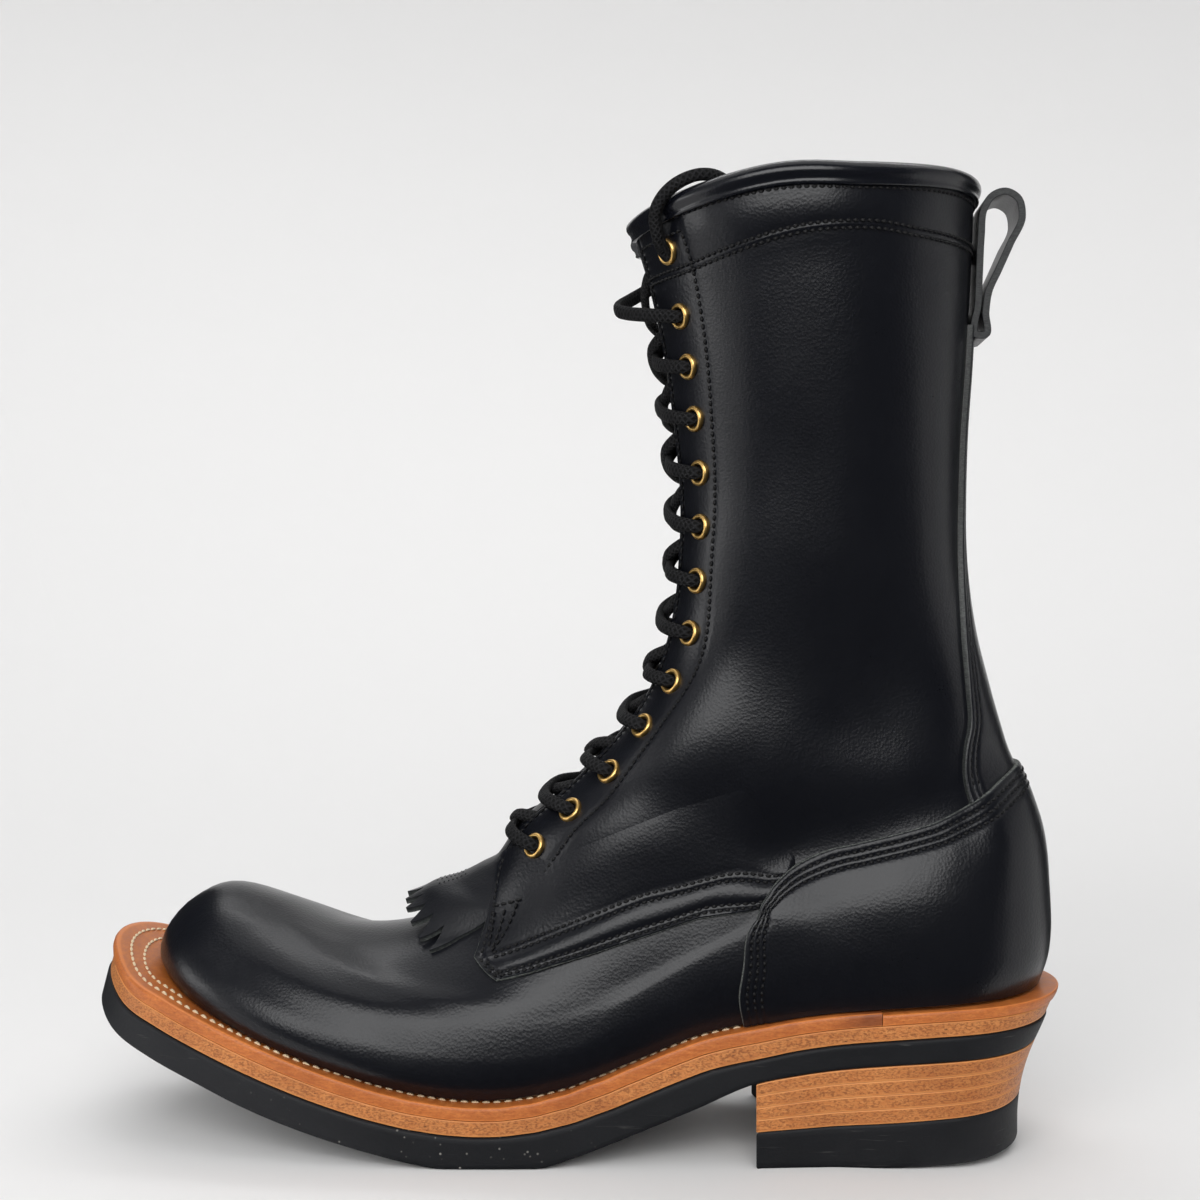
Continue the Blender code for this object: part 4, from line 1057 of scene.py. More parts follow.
def upper_skin():
    """Vamp, quarters and shaft in one hollow wall: the columns follow the facings and the stitch lines
    beside them, the rows bend to the top band, and the cells in the throat and the eyelet holes are left
    out."""
    low = even_rings(0.0, THROAT_RING, 46)
    high = even_rings(THROAT_RING, 17.9, 126)[1:]
    band = (18.0, 18.08, 18.14, 18.19, 18.22, 18.24, 18.26, 18.28, 18.31, 18.36)
    rings = np.r_[low, high, band, np.linspace(18.42, LAST_RING, 14)]
    throat_row = len(low) - 1
    throat_cells = 12
    near = np.array([0.0, 0.45, 1.0, 1.6, 2.2, 2.8, 3.4, 4.3])
    behind = curve(FACING["ring"], FACING["behind"], rings)[:, None]
    far = behind + np.array([-1.7, -0.85, 0.0, 0.85, 1.7, 3.2])
    middle = np.linspace(0, 1, 12)[1:-1] * (far[:, :1] - near[-1]) + near[-1]
    back = np.concatenate([np.broadcast_to(near, (len(rings), len(near))), middle, far], axis=1)
    facing = throat_angle(rings[:, None], back)
    inside = facing[:, :1] * np.linspace(-1, 1, throat_cells + 1)[None, :-1]
    last = facing[:, -1:]
    flank = last + (2 * np.pi - 2 * last) * np.linspace(0, 1, 132)[None, 1:-1]
    angle = np.concatenate([inside, facing, flank, 2 * np.pi - facing[:, :0:-1]], axis=1)
    level = np.broadcast_to(rings[:, None], angle.shape)
    angle = upright(angle, level, last)
    level = level + (band_ring(angle) - BAND_ROW) * ease(17.0, 18.2, level) * ease(19.0, 18.3, level)
    point, normal = surface(angle, level)
    outer = point + stitch_dip(angle, level)[..., None] * normal
    keep = np.ones((len(rings) - 1, angle.shape[1]), bool)
    keep[throat_row:, :throat_cells] = False
    cell = (point[:-1] + point[1:] + np.roll(point, -1, axis=1)[:-1] + np.roll(point, -1, axis=1)[1:]) / 4
    for ring, degrees in EYELET_ROWS:
        for sign in (-1.0, 1.0):
            hole = surface(np.radians(sign * degrees), ring)[0]
            keep &= np.linalg.norm(cell - hole, axis=-1) > EYELET_BORE
    points, faces = wall(outer, point - WALL * normal, keep, wrap=True)
    burnish = np.concatenate([(ease(0.9, 0.1, level) * 0.15).ravel(), np.zeros(angle.size)])
    marks = {"raw": np.zeros(len(points)), "burnish": burnish}
    count = np.count_nonzero(keep)
    inner = np.zeros(len(faces))
    inner[count:2 * count] = 1
    make("upper_leather", points, faces, [BLACK_LEATHER, FLESH], ["upper"], marks, inner)
    skin_stitches()


def on_skin(angle, ring, lift=0.05):
    """A path on the leather with the directions off it, for stitches."""
    point, normal = surface(angle, ring)
    return point + lift * normal, normal


def skin_stitches():
    """Rows sewn through the shaft: both rows and the ends of each facing, the top band's pair, the
    collar's row."""
    for sign in (-1.0, 1.0):
        ring = np.linspace(9.3, 18.62, 500)
        stitch("black", *on_skin(sign * throat_angle(ring, FACING_STITCH), ring, -0.15))
        ring = np.linspace(8.45, 18.55, 500)
        stitch("black", *on_skin(sign * facing_angle(ring), ring, -0.15))
        ring = np.full(40, 18.58)
        start, end = throat_angle(ring, 3.4), facing_angle(ring)
        stitch("black", *on_skin(sign * (start + np.linspace(0, 1, 40) * (end - start)), ring))
    turn = np.linspace(throat_angle(18.2, 1.0), 2 * np.pi - throat_angle(18.2, 1.0), 800)
    for offset in (-0.04, 0.04):
        stitch("black", *on_skin(turn, band_ring(turn) + offset, -0.1), 2.2, 0.84, 0.52, 0.36)
    stitch("black", *on_skin(turn, np.full(800, 18.775), 0.0), 2.2, 0.78, 0.46, 0.26)


def line_on(rows, count):
    """Angles and rings along a line of the tables, in even steps of its rows."""
    table = columns(LINE_COLUMNS, rows)
    number = np.arange(len(rows))
    place = np.linspace(0, len(rows) - 1, count)
    angle, ring = (curve(number, table[name], place, level=True) for name in LINE_COLUMNS)
    return np.radians(angle), ring


class Patch:
    """Leather laid on the upper between an edge line and a second line. A depth in millimetres square in
    from the edge is a share of the straight way between the lines at each station; the lift at a depth
    comes from a profile."""

    def __init__(self, edge, inner, profile, swell=lambda angle, point: 0.0 * angle):
        self.swell = swell
        self.edge_angle, self.edge_ring = edge
        self.inner_angle, self.inner_ring = inner
        self.profile = profile
        outer = surface(*edge)[0]
        way = surface(*inner)[0] - outer
        along = unit(np.gradient(outer, axis=0))
        slant = np.linalg.norm(np.cross(along, unit(way)), axis=-1)
        slant = np.pad(np.clip(slant, 0.5, 1.0), 6, mode="edge")
        slant = np.convolve(slant, np.full(13, 1 / 13), mode="valid")
        self.reach = np.linalg.norm(way, axis=-1) * slant

    def at(self, share):
        """Angles and rings at shares of the way in from the edge, one column for each station."""
        angle = self.edge_angle + (self.inner_angle - self.edge_angle) * share
        ring = self.edge_ring + (self.inner_ring - self.edge_ring) * share
        return angle, ring

    def lift(self, depth):
        """Height of the leather at a depth from the edge."""
        return curve(self.profile["depth"], self.profile["lift"], depth, level=True)

    def row(self, depth, start=0.0, end=1.0, sink=0.0):
        """A stitch path at a depth from the edge, over a share of the stations."""
        angle, ring = self.at(depth / self.reach)
        point, normal = surface(angle, ring)
        lift = self.lift(depth + 0.0 * self.reach) + self.swell(angle, point) - sink
        path = point + lift[:, None] * normal
        first, last = int(start * len(path)), int(end * len(path))
        return path[first:last], normal[first:last]

    def build(self, name, depths, more, finish, nodes=(), cut=1.0):
        """Mesh of the patch: a raw wall at the edge, rows at the depths, then rows on to the second line."""
        zero = np.zeros_like(self.reach)
        shares = [zero, zero] + [depth / self.reach for depth in depths]
        shares += [shares[-1] + (1 - shares[-1]) * step for step in np.linspace(0, 1, more + 1)[1:]]
        lifts = [zero - 0.5] + [np.maximum(self.lift(share * self.reach), -0.4) for share in shares[1:]]
        raw = [cut, cut] + [0.0] * (len(shares) - 2)
        share, lift = np.stack(shares), np.stack(lifts)
        angle, ring = self.at(share)
        point, normal = surface(angle, ring)
        lift[1:] += self.swell(angle, point)[1:]
        outer = point + lift[..., None] * normal
        points, faces = wall(outer, point - 0.9 * normal)
        mark = np.broadcast_to(np.array(raw)[:, None], share.shape)
        marks = {
            "raw": np.concatenate([mark.ravel(), np.ones(mark.size)]),
            "burnish": np.concatenate([(ease(0.9, 0.1, ring) * 0.15).ravel(), np.zeros(mark.size)]),
        }
        make(name, points, faces, finish, nodes, marks)


def profile_of(*rows):
    """Lift of a leather edge by depth in from it."""
    return columns(("depth", "lift"), rows)


def stitched_profile(thick, rows, puff=0.25, end=None):
    """Lift of an overlay: a small round at the edge, a trough at each stitch row and a little puff
    between rows."""
    table = [(0.0, thick - 0.45), (0.25, thick - 0.12), (0.6, thick)]
    before = 0.6
    for depth in rows:
        if depth - before > 2.4:
            table.append(((before + depth) / 2, thick + puff))
        table += [(depth - 0.55, thick - 0.02), (depth, thick - 0.34), (depth + 0.55, thick - 0.02)]
        before = depth + 0.55
    if end:
        table += end
    return profile_of(*table)


STRAP_ROWS = (0.14, 0.27, 0.84, 1.0)
STRAP_BREADTH = 10.0
STRAP_THICK = 1.7
FACING_THICK = 1.7
FRONT_STATION = len(QUARTER_EDGE) - 1
# columns of the quarter's grid near its front edge, in stations from it, and its rows across
QUARTER_FRONT = (
    0.9, 0.8, 0.7, 0.6, 0.5, 0.42, 0.36, 0.31, 0.275, 0.24, 0.21, 0.18, 0.14, 0.10, 0.06, 0.025, 0.0, 0.0,
)
QUARTER_ACROSS = (
    0.0, 0.0, 0.025, 0.06, 0.10, 0.14, 0.18, 0.23, 0.27, 0.31, 0.38, 0.46, 0.55, 0.64, 0.72, 0.79, 0.84, 0.89,
    0.95, 1.0, 1.05, 1.12, 1.2, 1.3, 1.42, 1.55, 1.7, 1.85, 2.0,
)
# stitch rows of the counter and the backstay, and the rows of their grids, by depth in from the edge
COUNTER_THICK = 1.9
COUNTER_ROWS = (2.0, 3.9, 5.8)
COUNTER_DEPTHS = (
    0.25, 0.6, 1.0, 1.45, 2.0, 2.55, 2.95, 3.35, 3.9, 4.45, 4.85, 5.25, 5.8, 6.35, 7.0, 8.2, 10.0, 13.0,
)
BACKSTAY_THICK = 2.0
BACKSTAY_STITCHES = (2.0, 3.8)
BACKSTAY_DEPTHS = (0.25, 0.6, 1.0, 1.45, 2.0, 2.55, 3.25, 3.8, 4.35, 5.5, 7.0)


def quarter_place(station, across):
    """Angle and ring on the quarter: across goes from the strap's lower edge at 0 by its upper stitch
    line at 1 to the end of the step at 2."""
    number = np.arange(FRONT_STATION + 1)
    lines = [columns(LINE_COLUMNS, rows) for rows in (QUARTER_EDGE, QUARTER_BAND, QUARTER_FADE)]
    spots = []
    for name in LINE_COLUMNS:
        edge, band, fade = (curve(number, line[name], station, level=True) for line in lines)
        low, high = np.clip(across, 0, 1), np.clip(across - 1, 0, 1)
        spots.append(edge + (band - edge) * low + (fade - band) * high)
    return np.radians(spots[0]), spots[1]


def quarter_lift(across, front):
    """Height of the quarter over the vamp: full along the strap and the facing's front edge, dying away
    inside; it is rounded at its edges, drawn in at each stitch row and puffed between the rows. Front is
    the distance from the front edge."""
    strap = 1 - ease(0.9, 2.0, across)
    facing = 1 - ease(6.0, 24.0, front)
    lift = STRAP_THICK * strap + (1 - strap) * FACING_THICK * facing
    lift = lift + 0.5 * np.sin(np.pi * np.clip((across - 0.3) / 0.5, 0, 1)) * ease(2.0, 8.0, front)
    for row in STRAP_ROWS:
        lift = lift - 0.36 * np.exp(-((across - row) * STRAP_BREADTH / 0.5) ** 2) * ease(1.0, 2.0, front)
    for row, low, high in ((1.5, 0.0, 1.0), (2.9, 0.0, 1.0), (2.2, 1.0, 2.0)):
        lift = lift - 0.36 * np.exp(-((front - row) / 0.5) ** 2) * (across >= low) * (across <= high)
    lift = lift - 0.45 * np.clip(1 - across / 0.06, 0, 1) ** 2 - 0.45 * np.clip(1 - front / 0.6, 0, 1) ** 2
    return np.maximum(lift - 0.7 * ease(1.5, 2.0, across), -1.2)


def quarter_piece(sign, name):
    """A quarter's strap and facing foot on one grid of stations and rows across, with raw walls along the
    strap's edge and the front edge, and its stitches."""
    station = np.r_[np.linspace(0, FRONT_STATION - 1, 170), FRONT_STATION - np.array(QUARTER_FRONT)]
    station, across = np.meshgrid(station, QUARTER_ACROSS)
    angle, ring = quarter_place(station, across)
    point, normal = surface(sign * angle, ring)
    step = np.linalg.norm(np.diff(point, axis=1), axis=-1)
    front = np.concatenate([np.cumsum(step[:, ::-1], axis=1)[:, ::-1], np.zeros((len(step), 1))], axis=1)
    lift = quarter_lift(across, front) - 2.6 * ease(0.7, 0.2, station)
    lift[0] = -2.4
    lift[:, -1] = -0.8 - 1.6 * ease(1.6, 0.8, across[:, -1])
    raw = np.zeros_like(lift)
    raw[:2] = 1.0
    raw[:, -2:] = 1.0
    points, faces = wall(point + lift[..., None] * normal, point - 2.8 * normal)
    marks = {"raw": np.r_[raw.ravel(), np.ones(raw.size)], "burnish": np.zeros(len(points))}
    make(name, points, faces, BLACK_LEATHER, (), marks)

    def sew_line(stations, acrosses, fronts):
        turn, level = quarter_place(stations, acrosses)
        spot, off = surface(sign * turn, level)
        stitch("black", spot + quarter_lift(acrosses, fronts)[:, None] * off, off)

    run = np.linspace(0.6, FRONT_STATION - 0.22, 380)
    for row in STRAP_ROWS:
        short = run[run < (FRONT_STATION - 0.22 if row < 0.5 else FRONT_STATION - 0.30)]
        sew_line(short, np.full(len(short), row), np.full(len(short), 9.0))
    for into, low, high in ((1.5, 0.10, 0.92), (2.9, 0.16, 0.80), (2.2, 1.02, 1.93)):
        rise = np.linspace(low, high, 80)
        pitch = np.interp(rise, across[:, 0], front[:, -8] / (FRONT_STATION - station[0, -8]))
        sew_line(FRONT_STATION - into / pitch, rise, np.full(80, into))
    tip_stitches(sign)


def upper_panels():
    """Quarters with their straps, heel counter and backstay, each laid over the upper and sewn down."""
    quarter_piece(-1.0, "quarter_outer")
    quarter_piece(1.0, "quarter_inner")
    counter_piece()
    backstay_pieces()
    pull_loop()


def counter_piece():
    """Heel counter over the back of the quarters, one patch round the heel; it swells over the strap's
    end and over the foot of the backstay."""
    body = [(7.6, 2.1), (14.0, 2.2), (60.0, 1.8), (200.0, 1.8)]
    profile = stitched_profile(COUNTER_THICK, COUNTER_ROWS, 0.1, body)

    def both(rows):
        angle, ring = line_on(rows, 170)
        return np.r_[angle, 2 * np.pi - angle[-2::-1]], np.r_[ring, ring[-2::-1]]

    def swell(angle, point):
        away = np.hypot(point[..., 0] - STRAP_END[0], point[..., 2] - STRAP_END[1])
        behind = ease(2.44, 2.66, from_front(angle)) * ease(78.0, 102.0, point[..., 2])
        return 1.5 * np.exp(-(away / 11.0) ** 2) + 1.8 * behind

    patch = Patch(both(COUNTER_EDGE), both(COUNTER_FOOT), profile, swell)
    patch.build("heel_counter", COUNTER_DEPTHS, 26, BLACK_LEATHER, ["counter"])
    for depth in COUNTER_ROWS:
        stitch("black", *patch.row(depth, 0.012, 0.988))


def tip_stitches(sign):
    """Stitches of the facing's foot: a bar across it and a fan down to the tip of the quarter's strap."""
    fan = (
        ((29.3, 8.16), (37.9, 8.40)),
        ((37.0, 8.32), (44.1, 7.14)),
        ((34.2, 8.17), (43.3, 7.22)),
        ((31.4, 8.07), (42.0, 7.25)),
    )
    share = np.linspace(0, 1, 40)
    for (a0, r0), (a1, r1) in fan:
        angle = sign * np.radians(a0 + (a1 - a0) * share)
        ring = r0 + (r1 - r0) * share
        stitch("black", *on_skin(angle, ring, 1.75))


def backstay_pieces():
    """Strap up the back seam, in two halves laid out from its edges to the seam."""
    count = 150
    profile = stitched_profile(BACKSTAY_THICK, BACKSTAY_STITCHES, 0.1, [(7.0, 2.05), (60.0, 2.05)])
    ring = even_rings(7.35, 17.45, count, 2.8)
    width = curve(BACKSTAY["ring"], BACKSTAY["half_width"], ring)
    side = np.arcsin(np.clip(width / ring_value("back_w", ring), 0, 0.9))
    for sign, name, nodes in ((-1.0, "backstay_outer", ["backstay"]), (1.0, "backstay_inner", [])):
        patch = Patch((sign * (np.pi - side), ring), (np.full(count, sign * np.pi), ring), profile)
        patch.build(name, BACKSTAY_DEPTHS, 6, BLACK_LEATHER, nodes, 0.32)
        for depth in BACKSTAY_STITCHES:
            stitch("black", *patch.row(depth, 0.06, 1.0, 0.3))


def pull_loop():
    """Finger loop: a flat section carried round a closed line in side view."""
    rows = np.array(LOOP_ROWS)
    closed = np.concatenate([rows, rows[:1]])
    number = along_line(closed)
    place = np.linspace(0, number[-1], 121)[:-1]
    wide = np.concatenate([number[-4:-1] - number[-1], number, number[-1] + number[1:4]])
    twice = np.concatenate([rows[-3:], closed, rows[1:4]])
    line = np.stack([curve(wide, twice[:, k], place) for k in range(2)], axis=-1)
    along = unit(np.roll(line, -1, axis=0) - np.roll(line, 1, axis=0))
    out = np.stack([along[:, 1], -along[:, 0]], axis=-1)
    rings = []
    for across, off, _ in LOOP_CORNERS:
        face = line + LOOP_HALF_THICK * off * out
        side = np.full(len(line), LOOP_HALF_WIDTH * across)
        rings.append(np.stack([face[:, 0], side, face[:, 1]], axis=-1))
    rings = np.stack(rings, axis=1)
    raw = np.tile([cut for _, _, cut in LOOP_CORNERS], len(line))
    faces = quads(*rings.shape[:2], wrap_rows=True, wrap_cols=True).reshape(-1, 4)
    make("finger_loop", rings.reshape(-1, 3), faces, KILTIE_LEATHER, ["pull_loop"],
         {"raw": raw, "burnish": 0 * raw}, crease=30.0)


def collar_binding():
    """Rolled binding: a bead over the collar's edge with a lip below it, carried round from facing to
    facing."""
    edge = throat_angle(float(LAST_RING))
    base, normal, rise = collar(np.linspace(edge, 2 * np.pi - edge, 221))
    turn = np.linspace(-0.62 * np.pi, 1.0 * np.pi, 17)
    roll = [(-1.3 + 3.5 * np.cos(a), -1.1 + 3.0 * np.sin(a)) for a in turn]
    roll = [(out, up) for out, up in roll if out > 0.9 or up > -1.1]
    inside = [(-3.4, -5.0), (-2.6, -5.1), (-2.5, -1.0), (0.1, -1.0)]
    lip = [(0.2, -5.2), (1.2, -5.15), (1.6, -4.7), (1.3, -4.0)]
    shape = inside + lip + roll + [(-4.8, -1.6), (-4.4, -3.6)]
    points, faces = tube(np.stack([base + out * normal + up * rise for out, up in shape], axis=1))
    make("binding_roll", points, faces, BINDING_LEATHER, ["collar_binding"], plain(points),
         crease=70.0)


def tongue_piece():
    """Tongue under the facings, a bowed sheet between two lifts below the upper's face."""
    across = np.linspace(-1, 1, 25)[None, :]
    level = even_rings(7.3, 18.7, 120, 0.1)[:, None] + 0.0 * across
    angle = throat_angle(level, 14.0) * across
    bow = 0.24 * np.cos(across * 4.0) * np.sin(level * 2.1)
    point, normal = surface(angle, level)
    outer, inner = (point + (bow - WALL - below)[..., None] * normal for below in TONGUE_BELOW)
    points, faces = wall(outer, inner)
    make("tongue_leather", points, faces, KILTIE_LEATHER, ["tongue"], plain(points))


def weld(points, faces):
    """Points that share a place become one, faces that lose a side to that become triangles or go, and
    faces that then lie back to back go."""
    key = np.round(points, 4)
    _, first, number = np.unique(key, axis=0, return_index=True, return_inverse=True)
    faces = number.reshape(-1)[faces]
    twin = faces == np.roll(faces, -1, axis=1)
    whole = faces[~twin.any(axis=1)]
    _, index, count = np.unique(np.sort(whole, axis=1), axis=0, return_inverse=True, return_counts=True)
    whole = whole[count[index.reshape(-1)] == 1]
    some = faces[twin.sum(axis=1) == 1]
    hold = ~(some == np.roll(some, -1, axis=1))
    thirds = some[hold].reshape(-1, 3)
    return points[first], [whole] + ([thirds] if len(thirds) else []), first


KILTIE_STRIPS = 11
KILTIE_FRINGE = 0.12
KILTIE_THICK = 1.75
KILTIE_FLARE = 0.177
# half the kiltie's breadth, and how far its middle stands off the vamp, by ring
KILTIE_SPREAD = columns(("ring", "half_width"), (
    (6.4, 25.0), (7.85, 25.0), (8.1, 25.0), (8.35, 24.0), (8.8, 16.0), (9.2, 9.0), (11.0, 9.0),
))
KILTIE_STAND = columns(("ring", "off"), (
    (6.4, 7.2), (7.0, 7.3), (7.6, 7.3), (8.2, 4.3), (8.7, 0.9), (9.1, -1.8), (9.6, -1.9), (11.0, -1.9),
))


def kiltie_grid(across, share):
    """Angle, ring and lift of the kiltie: it lies on the vamp along its sides, stands off it in a dome
    towards the fringe and narrows under the facings to the throat."""
    level = 7.03 - 0.24 * across ** 2 * np.clip(1 - 3 * share, 0, 1)
    level = level + (10.6 - level) * share
    spread = curve(KILTIE_SPREAD["ring"], KILTIE_SPREAD["half_width"], level, level=True)
    angle = np.arcsin(np.clip(spread / ring_value("front_w", level) * across, -0.95, 0.95))
    stand = curve(KILTIE_STAND["ring"], KILTIE_STAND["off"], level, level=True)
    side = -0.5 - 1.5 * ease(7.95, 8.3, level)
    lift = side + (stand - side) * np.clip(1 - across ** 2, 0, 1) ** 1.2
    return angle, level, lift


def kiltie_piece():
    """Fringed flap: each strip narrows from its notch to a point that leans away from the middle, and
    beyond the notches the strips are one sheet."""
    fringe = np.linspace(0, KILTIE_FRINGE, 14)
    body = np.linspace(KILTIE_FRINGE, 1.0, 40)[1:]
    share = np.r_[fringe, body][:, None]
    per = 7
    inside = np.linspace(-1, 1, per)
    taper = np.clip(share / KILTIE_FRINGE, 0, 1)
    strips = []
    for k in range(KILTIE_STRIPS):
        root = (2 * k + 1) / KILTIE_STRIPS - 1
        middle = root * (1 + KILTIE_FLARE * (1 - taper))
        strips.append(middle + inside[None, :] / KILTIE_STRIPS * (0.05 + 0.95 * taper ** 0.85))
    across = np.concatenate(strips, axis=1)
    share = np.broadcast_to(share, across.shape)
    angle, level, lift = kiltie_grid(across, share)
    strip = np.arange(across.shape[1]) // per
    lift = lift + 0.3 * np.cos(strip * 2.3)[None, :] * np.clip(1 - share / KILTIE_FRINGE, 0, 1)
    point, normal = surface(angle, level)
    outer = point + (lift + KILTIE_THICK)[..., None] * normal
    under = point + lift[..., None] * normal
    keep = np.ones((share.shape[0] - 1, share.shape[1] - 1), bool)
    keep[:, per - 1::per] = False
    points, groups, first = weld(*wall(outer, under, keep))
    raw = np.r_[np.zeros(angle.size), np.full(angle.size, 0.6)][first]
    make("kiltie_flap", points, groups, KILTIE_LEATHER, ["kiltie"],
         {"raw": raw, "burnish": 0 * raw}, crease=30.0)
    kiltie_holes()


def kiltie_holes():
    """Small punched holes in two rows on each side of the flap, as shallow dimples in dark thread colour,
    which is painted shade standing in for the depth of each hole.
    """
    spots = []
    for side in (-1.0, 1.0):
        for row, start in ((0.08, 0.0), (0.21, 0.5)):
            share = 0.21 + 0.026 * (np.arange(7) + start)
            spots.append(np.stack([np.full(7, side * row), share], axis=-1))
    spots = np.concatenate(spots)
    angle, level, lift = kiltie_grid(spots[:, 0], spots[:, 1])
    point, normal = surface(angle, level)
    top = point + (lift + KILTIE_THICK)[:, None] * normal
    sides = 8
    circle = circles(normal, (1.0, 0.0, 0.0), sides)
    shape = ((0.46, -0.3), (0.46, 0.05), (0.34, 0.06), (0.26, -0.2))
    rings = np.stack([top + radius * circle + height * normal for radius, height in shape])
    rings = rings.transpose(2, 0, 1, 3)
    size = len(shape) * sides
    base = repeated(quads(len(shape), sides, wrap_cols=True).reshape(-1, 4), len(spots), size)
    ends = repeated(np.stack([np.arange(sides)[::-1], np.arange(sides) + size - sides]), len(spots), size)
    # the holes are not cut through: their dark colour is painted shade
    make("kiltie_punch_shade", rings.reshape(-1, 3), [base, ends], BLACK_THREAD)


def eyelet_pieces():
    """Brass eyelets: a rolled ring with a barrel into the hole, turned about each hole's own direction."""
    middle, half = 0.5 * (EYELET_BORE + EYELET_RIM), 0.5 * (EYELET_RIM - EYELET_BORE)
    roll = [(middle + half * np.cos(a), 0.35 + 0.95 * np.sin(a)) for a in np.linspace(np.pi, 0, 9)]
    skirt = [(EYELET_RIM, 0.1), (EYELET_RIM - 0.15, -0.35), (EYELET_BORE + 0.3, -0.4)]
    barrel = [(EYELET_BORE + 0.3, -EYELET_BARREL), (EYELET_BORE, -EYELET_BARREL), (EYELET_BORE, 0.2)]
    shape = barrel[1:] + roll + skirt + barrel[:1]
    for sign, side, name in ((-1.0, "l", "eyelets_outer"), (1.0, "r", "eyelets_inner")):
        spot, normal = surface(np.radians(sign * EYELET["angle_deg"]), EYELET["ring"])
        circle = circles(normal, (0.0, 0.0, 1.0), 28)
        rings = np.stack([spot + radius * circle + up * normal for radius, up in shape]).transpose(2, 1, 0, 3)
        count, rows, cols = rings.shape[:3]
        face = quads(rows, cols, wrap_rows=True, wrap_cols=True).reshape(-1, 4)
        make(name, rings.reshape(-1, 3), repeated(face, count, rows * cols), BRASS,
             ["eyelet_%s%02d" % (side, k + 1) for k in range(count)], crease=60.0)


def braid(path, normal, half_width, half_thick, sides=14):
    """Oval sections along a path, their broad side along the surface, with the values that the braid is drawn
    from."""
    along = unit(np.gradient(path, axis=0))
    side = unit(np.cross(along, normal))
    up = np.cross(side, along)
    turn = 2 * np.pi * np.arange(sides) / sides
    wide, tall = (np.sign(wave) * np.abs(wave) ** 0.8 for wave in (np.cos(turn), np.sin(turn)))
    rings = path[:, None] + (half_width[:, None] * wide)[..., None] * side[:, None]
    rings = rings + (half_thick[:, None] * tall)[..., None] * up[:, None]
    points, faces = tube(rings)
    distance = np.repeat(along_line(path), sides)
    around = np.tile(turn, len(path))
    return points, faces, np.r_[distance, distance[0], distance[-1]], np.r_[around, 0.0, 0.0]


def lace_piece():
    """Crossings of the lace: out of an eyelet, over the facing edge, across the tongue and under the
    other facing to the next eyelet up. The last crossing on the outer side hangs slack."""
    ring = EYELET["ring"]
    angle = np.radians(EYELET["angle_deg"])
    points, quad, tri, along, around = [], [], [], [], []
    start = 0
    for sign in (-1.0, 1.0):
        for k in range(len(ring) - 1):
            a, b = sign * angle[k], -sign * angle[k + 1]
            slack = 1.0 if sign < 0 and k == len(ring) - 2 else 0.0
            over = 1.0 if (k % 2 == 0) == (sign > 0) else -1.0
            rise = ring[k + 1] - ring[k]
            edge_a = sign * throat_angle(ring[k] + 0.25 * rise)
            edge_b = -sign * throat_angle(ring[k] + 0.75 * rise)
            stops = (
                (a, 0.0, -3.6),
                (a, 0.0, -0.4),
                (a + 0.10 * (edge_a - a), 0.02, 1.7 + 0.8 * slack),
                (a + 0.52 * (edge_a - a), 0.12, 2.9 + 3.2 * slack),
                (edge_a, 0.24, 2.7 + 6.2 * slack),
                (0.45 * edge_a, 0.38, 1.9 + 0.6 * over + 7.6 * slack),
                (0.45 * edge_b, 0.60, 0.9 + 0.9 * over + 4.2 * slack),
                (edge_b, 0.78, -1.2 + 1.6 * slack),
                (edge_b + 0.35 * (b - edge_b), 0.90, -3.9),
                (b, 1.0, -4.2),
            )
            fine = np.linspace(0, len(stops) - 1, 46)
            turn, share, lift = (curve(np.arange(len(stops)), column, fine) for column in zip(*stops))
            path, normal = surface(turn, ring[k] + rise * share)
            path = path + lift[:, None] * normal
            flat = ease(0.6, 2.6, fine)
            half_width, half_thick = LACE_HALF + 0.45 * flat, LACE_HALF - 0.40 * flat
            block, faces, distance, turns = braid(path, normal, half_width, half_thick)
            points.append(block)
            quad.append(faces[0] + start)
            tri += [faces[1] + start, faces[2] + start]
            along.append(distance)
            around.append(turns)
            start += len(block)
    marks = {"along": np.concatenate(along), "around": np.concatenate(around)}
    faces = [np.concatenate(quad), np.concatenate(tri)]
    make("lace_crossings", np.concatenate(points), faces, LACE, ["lace"], marks, crease=80.0)


def lace_end_piece():
    """Free end of the lace from the top eyelet over the collar into the shaft, a round cord."""
    turn, out, above = np.array(LACE_END_ROWS).T
    base, normal, rise = collar(np.radians(turn))
    hole, off = surface(-np.radians(EYELET["angle_deg"][-1]), EYELET["ring"][-1])
    through = hole + np.array([[-2.4], [0.9]]) * off + np.array([[-3.2], [-0.6]]) * rise[0]
    stops = np.concatenate([through, base + out[:, None] * normal + above[:, None] * rise])
    normals = np.concatenate([np.tile(rise[0], (2, 1)), normal])
    number = along_line(stops)
    fine = np.linspace(0, number[-1], 110)
    path, normal = (
        np.stack([curve(number, rows[:, k], fine) for k in range(3)], axis=-1) for rows in (stops, normals)
    )
    size = np.full(len(path), LACE_TAIL_HALF)
    points, faces, distance, around = braid(path, normal, size, size)
    marks = {"along": distance, "around": around}
    thing = make("lace_tail", points, faces, LACE, ["lace_end"], marks, crease=80.0)
    row = (path - ORIGIN) * MM
    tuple(row[0])
    along_line(row)[-1]


# sectors of the backdrop hidden from reflections, as if dark flags stood before them: middle and half
# breadth of each, in degrees round the floor
FLAGS = ((282.0, 58.0), (147.0, 31.0), (35.0, 15.0))
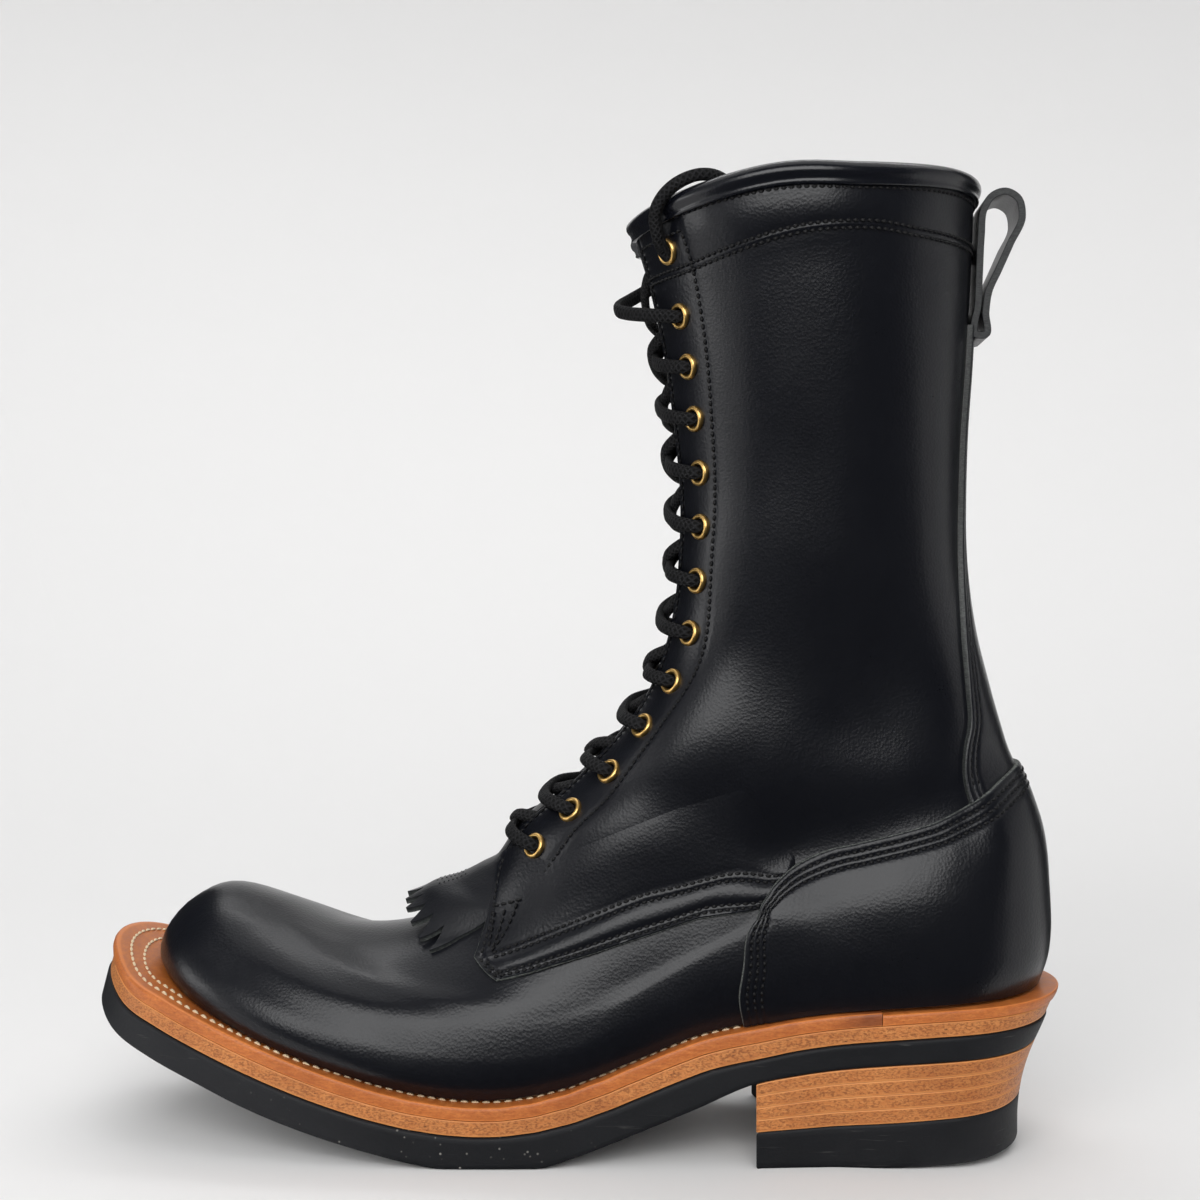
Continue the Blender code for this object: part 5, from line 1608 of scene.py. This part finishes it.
# soft boxes, in metres and watts: name, place, aim, size, power, whether it is seen in reflections
LAMPS = (
    ("soft_front", (-0.15, -1.25, 0.78), (0.0, 0.0, 0.10), (1.4, 0.85), 15.5, True),
    ("soft_top", (0.05, 0.30, 1.50), (0.02, 0.12, 0.1), (2.2, 1.6), 9.0, True),
    ("fill_floor", (0.0, -0.75, 1.10), (0.0, -0.35, 0.0), (1.6, 0.8), 4.5, False),
    ("fill_back", (0.0, 0.50, 1.70), (0.0, 0.90, 0.0), (2.0, 1.5), 3.0, False),
    ("soft_left", (-1.15, -0.28, 0.18), (-0.1, 0.0, 0.10), (0.55, 0.6), 2.4, True),
    ("backdrop_glow", (-0.1, 0.75, 1.5), (-0.12, 1.75, 0.45), (1.6, 0.5), 10.0, True),
)
CAMERA_PLACE = (0.0475, -0.5420, 0.1772)
CAMERA_TURN = 4.0
CAMERA_LENS = 50.22
CAMERA_SHIFT = -0.0208


def studio_paper():
    """Pale floor that rises into a round wall; the sectors listed in FLAGS are hidden from reflections."""
    bend = np.linspace(0, np.pi / 2, 14)
    curb = [(0.5 + 1.6 * np.sin(a), 1.5 - 1.5 * np.cos(a)) for a in bend]
    profile = np.array([(0.0, 0.0), (0.2, 0.0), (0.4, 0.0)] + curb + [(2.1, 2.2), (2.1, 3.4)])
    turn = np.radians(np.arange(0, 360, 5))
    around = np.degrees(turn)
    radius, height = profile[:, :1], np.repeat(profile[:, 1:], len(turn), axis=1)
    grid = np.stack([radius * np.cos(turn), radius * np.sin(turn), height], axis=-1)
    face = quads(*grid.shape[:2], wrap_cols=True)
    ahead = np.any([np.abs(around - middle) < half for middle, half in FLAGS], axis=0)
    ahead = np.broadcast_to(ahead, face.shape[:2])
    paper = Finish("studio_paper", base_color=(0.74, 0.737, 0.735), roughness=0.85, specular_ior_level=0.2)
    for name, kept, mirrored in (("studio_sweep", ~ahead, True), ("studio_front", ahead, False)):
        mesh = bpy.data.meshes.new(name)
        mesh.from_pydata(grid.reshape(-1, 3).tolist(), [], face[kept][:, ::-1].tolist())
        mesh.polygons.foreach_set("use_smooth", np.ones(len(mesh.polygons), bool))
        mesh.materials.append(paper.material)
        sweep = bpy.data.objects.new(name, mesh)
        sweep.visible_glossy = mirrored
        bpy.context.scene.collection.objects.link(sweep)


def studio_lamps():
    """Soft boxes, each a rectangle turned to its aim, and a faint even light all round."""
    world = bpy.data.worlds.new("studio_world")
    world.use_nodes = True
    backdrop = world.node_tree.nodes["Background"]
    backdrop.inputs["Color"].default_value = (0.92, 0.95, 1.0, 1.0)
    backdrop.inputs["Strength"].default_value = 0.03
    bpy.context.scene.world = world
    bpy.context.scene.view_settings.view_transform = "Standard"
    for name, place, aim, size, power, mirrored in LAMPS:
        lamp = bpy.data.lights.new(name, "AREA")
        lamp.shape = "RECTANGLE"
        lamp.size, lamp.size_y = size
        lamp.energy = power
        thing = bpy.data.objects.new(name, lamp)
        thing.location = place
        thing.visible_glossy = mirrored
        way = np.array(aim) - np.array(place)
        tilt = np.arccos(-way[2] / np.linalg.norm(way))
        thing.rotation_euler = (tilt, 0.0, np.arctan2(way[1], way[0]) - np.pi / 2)
        bpy.context.scene.collection.objects.link(thing)


def photo_camera():
    """Camera at the photograph's place: level, turned a little to the toe, with the frame shifted down."""
    eye = bpy.data.cameras.new("photo_view")
    eye.sensor_width = 36.0
    eye.lens = CAMERA_LENS
    eye.shift_y = CAMERA_SHIFT
    camera = bpy.data.objects.new("photo_view", eye)
    camera.location = CAMERA_PLACE
    camera.rotation_euler = (np.radians(90.0), 0.0, np.radians(CAMERA_TURN))
    bpy.context.scene.collection.objects.link(camera)
    bpy.context.scene.camera = camera


def studio():
    """Plain pale floor and backdrop, soft boxes and the camera at the photograph's angle."""
    studio_paper()
    studio_lamps()
    photo_camera()


studio()
lace_end_piece()
lace_piece()
upper_skin()
upper_panels()
collar_binding()
tongue_piece()
kiltie_piece()
eyelet_pieces()
sole_pieces()
sew("black_stitching", "black", BLACK_THREAD)
sew("welt_stitching", "cream", CREAM_THREAD)
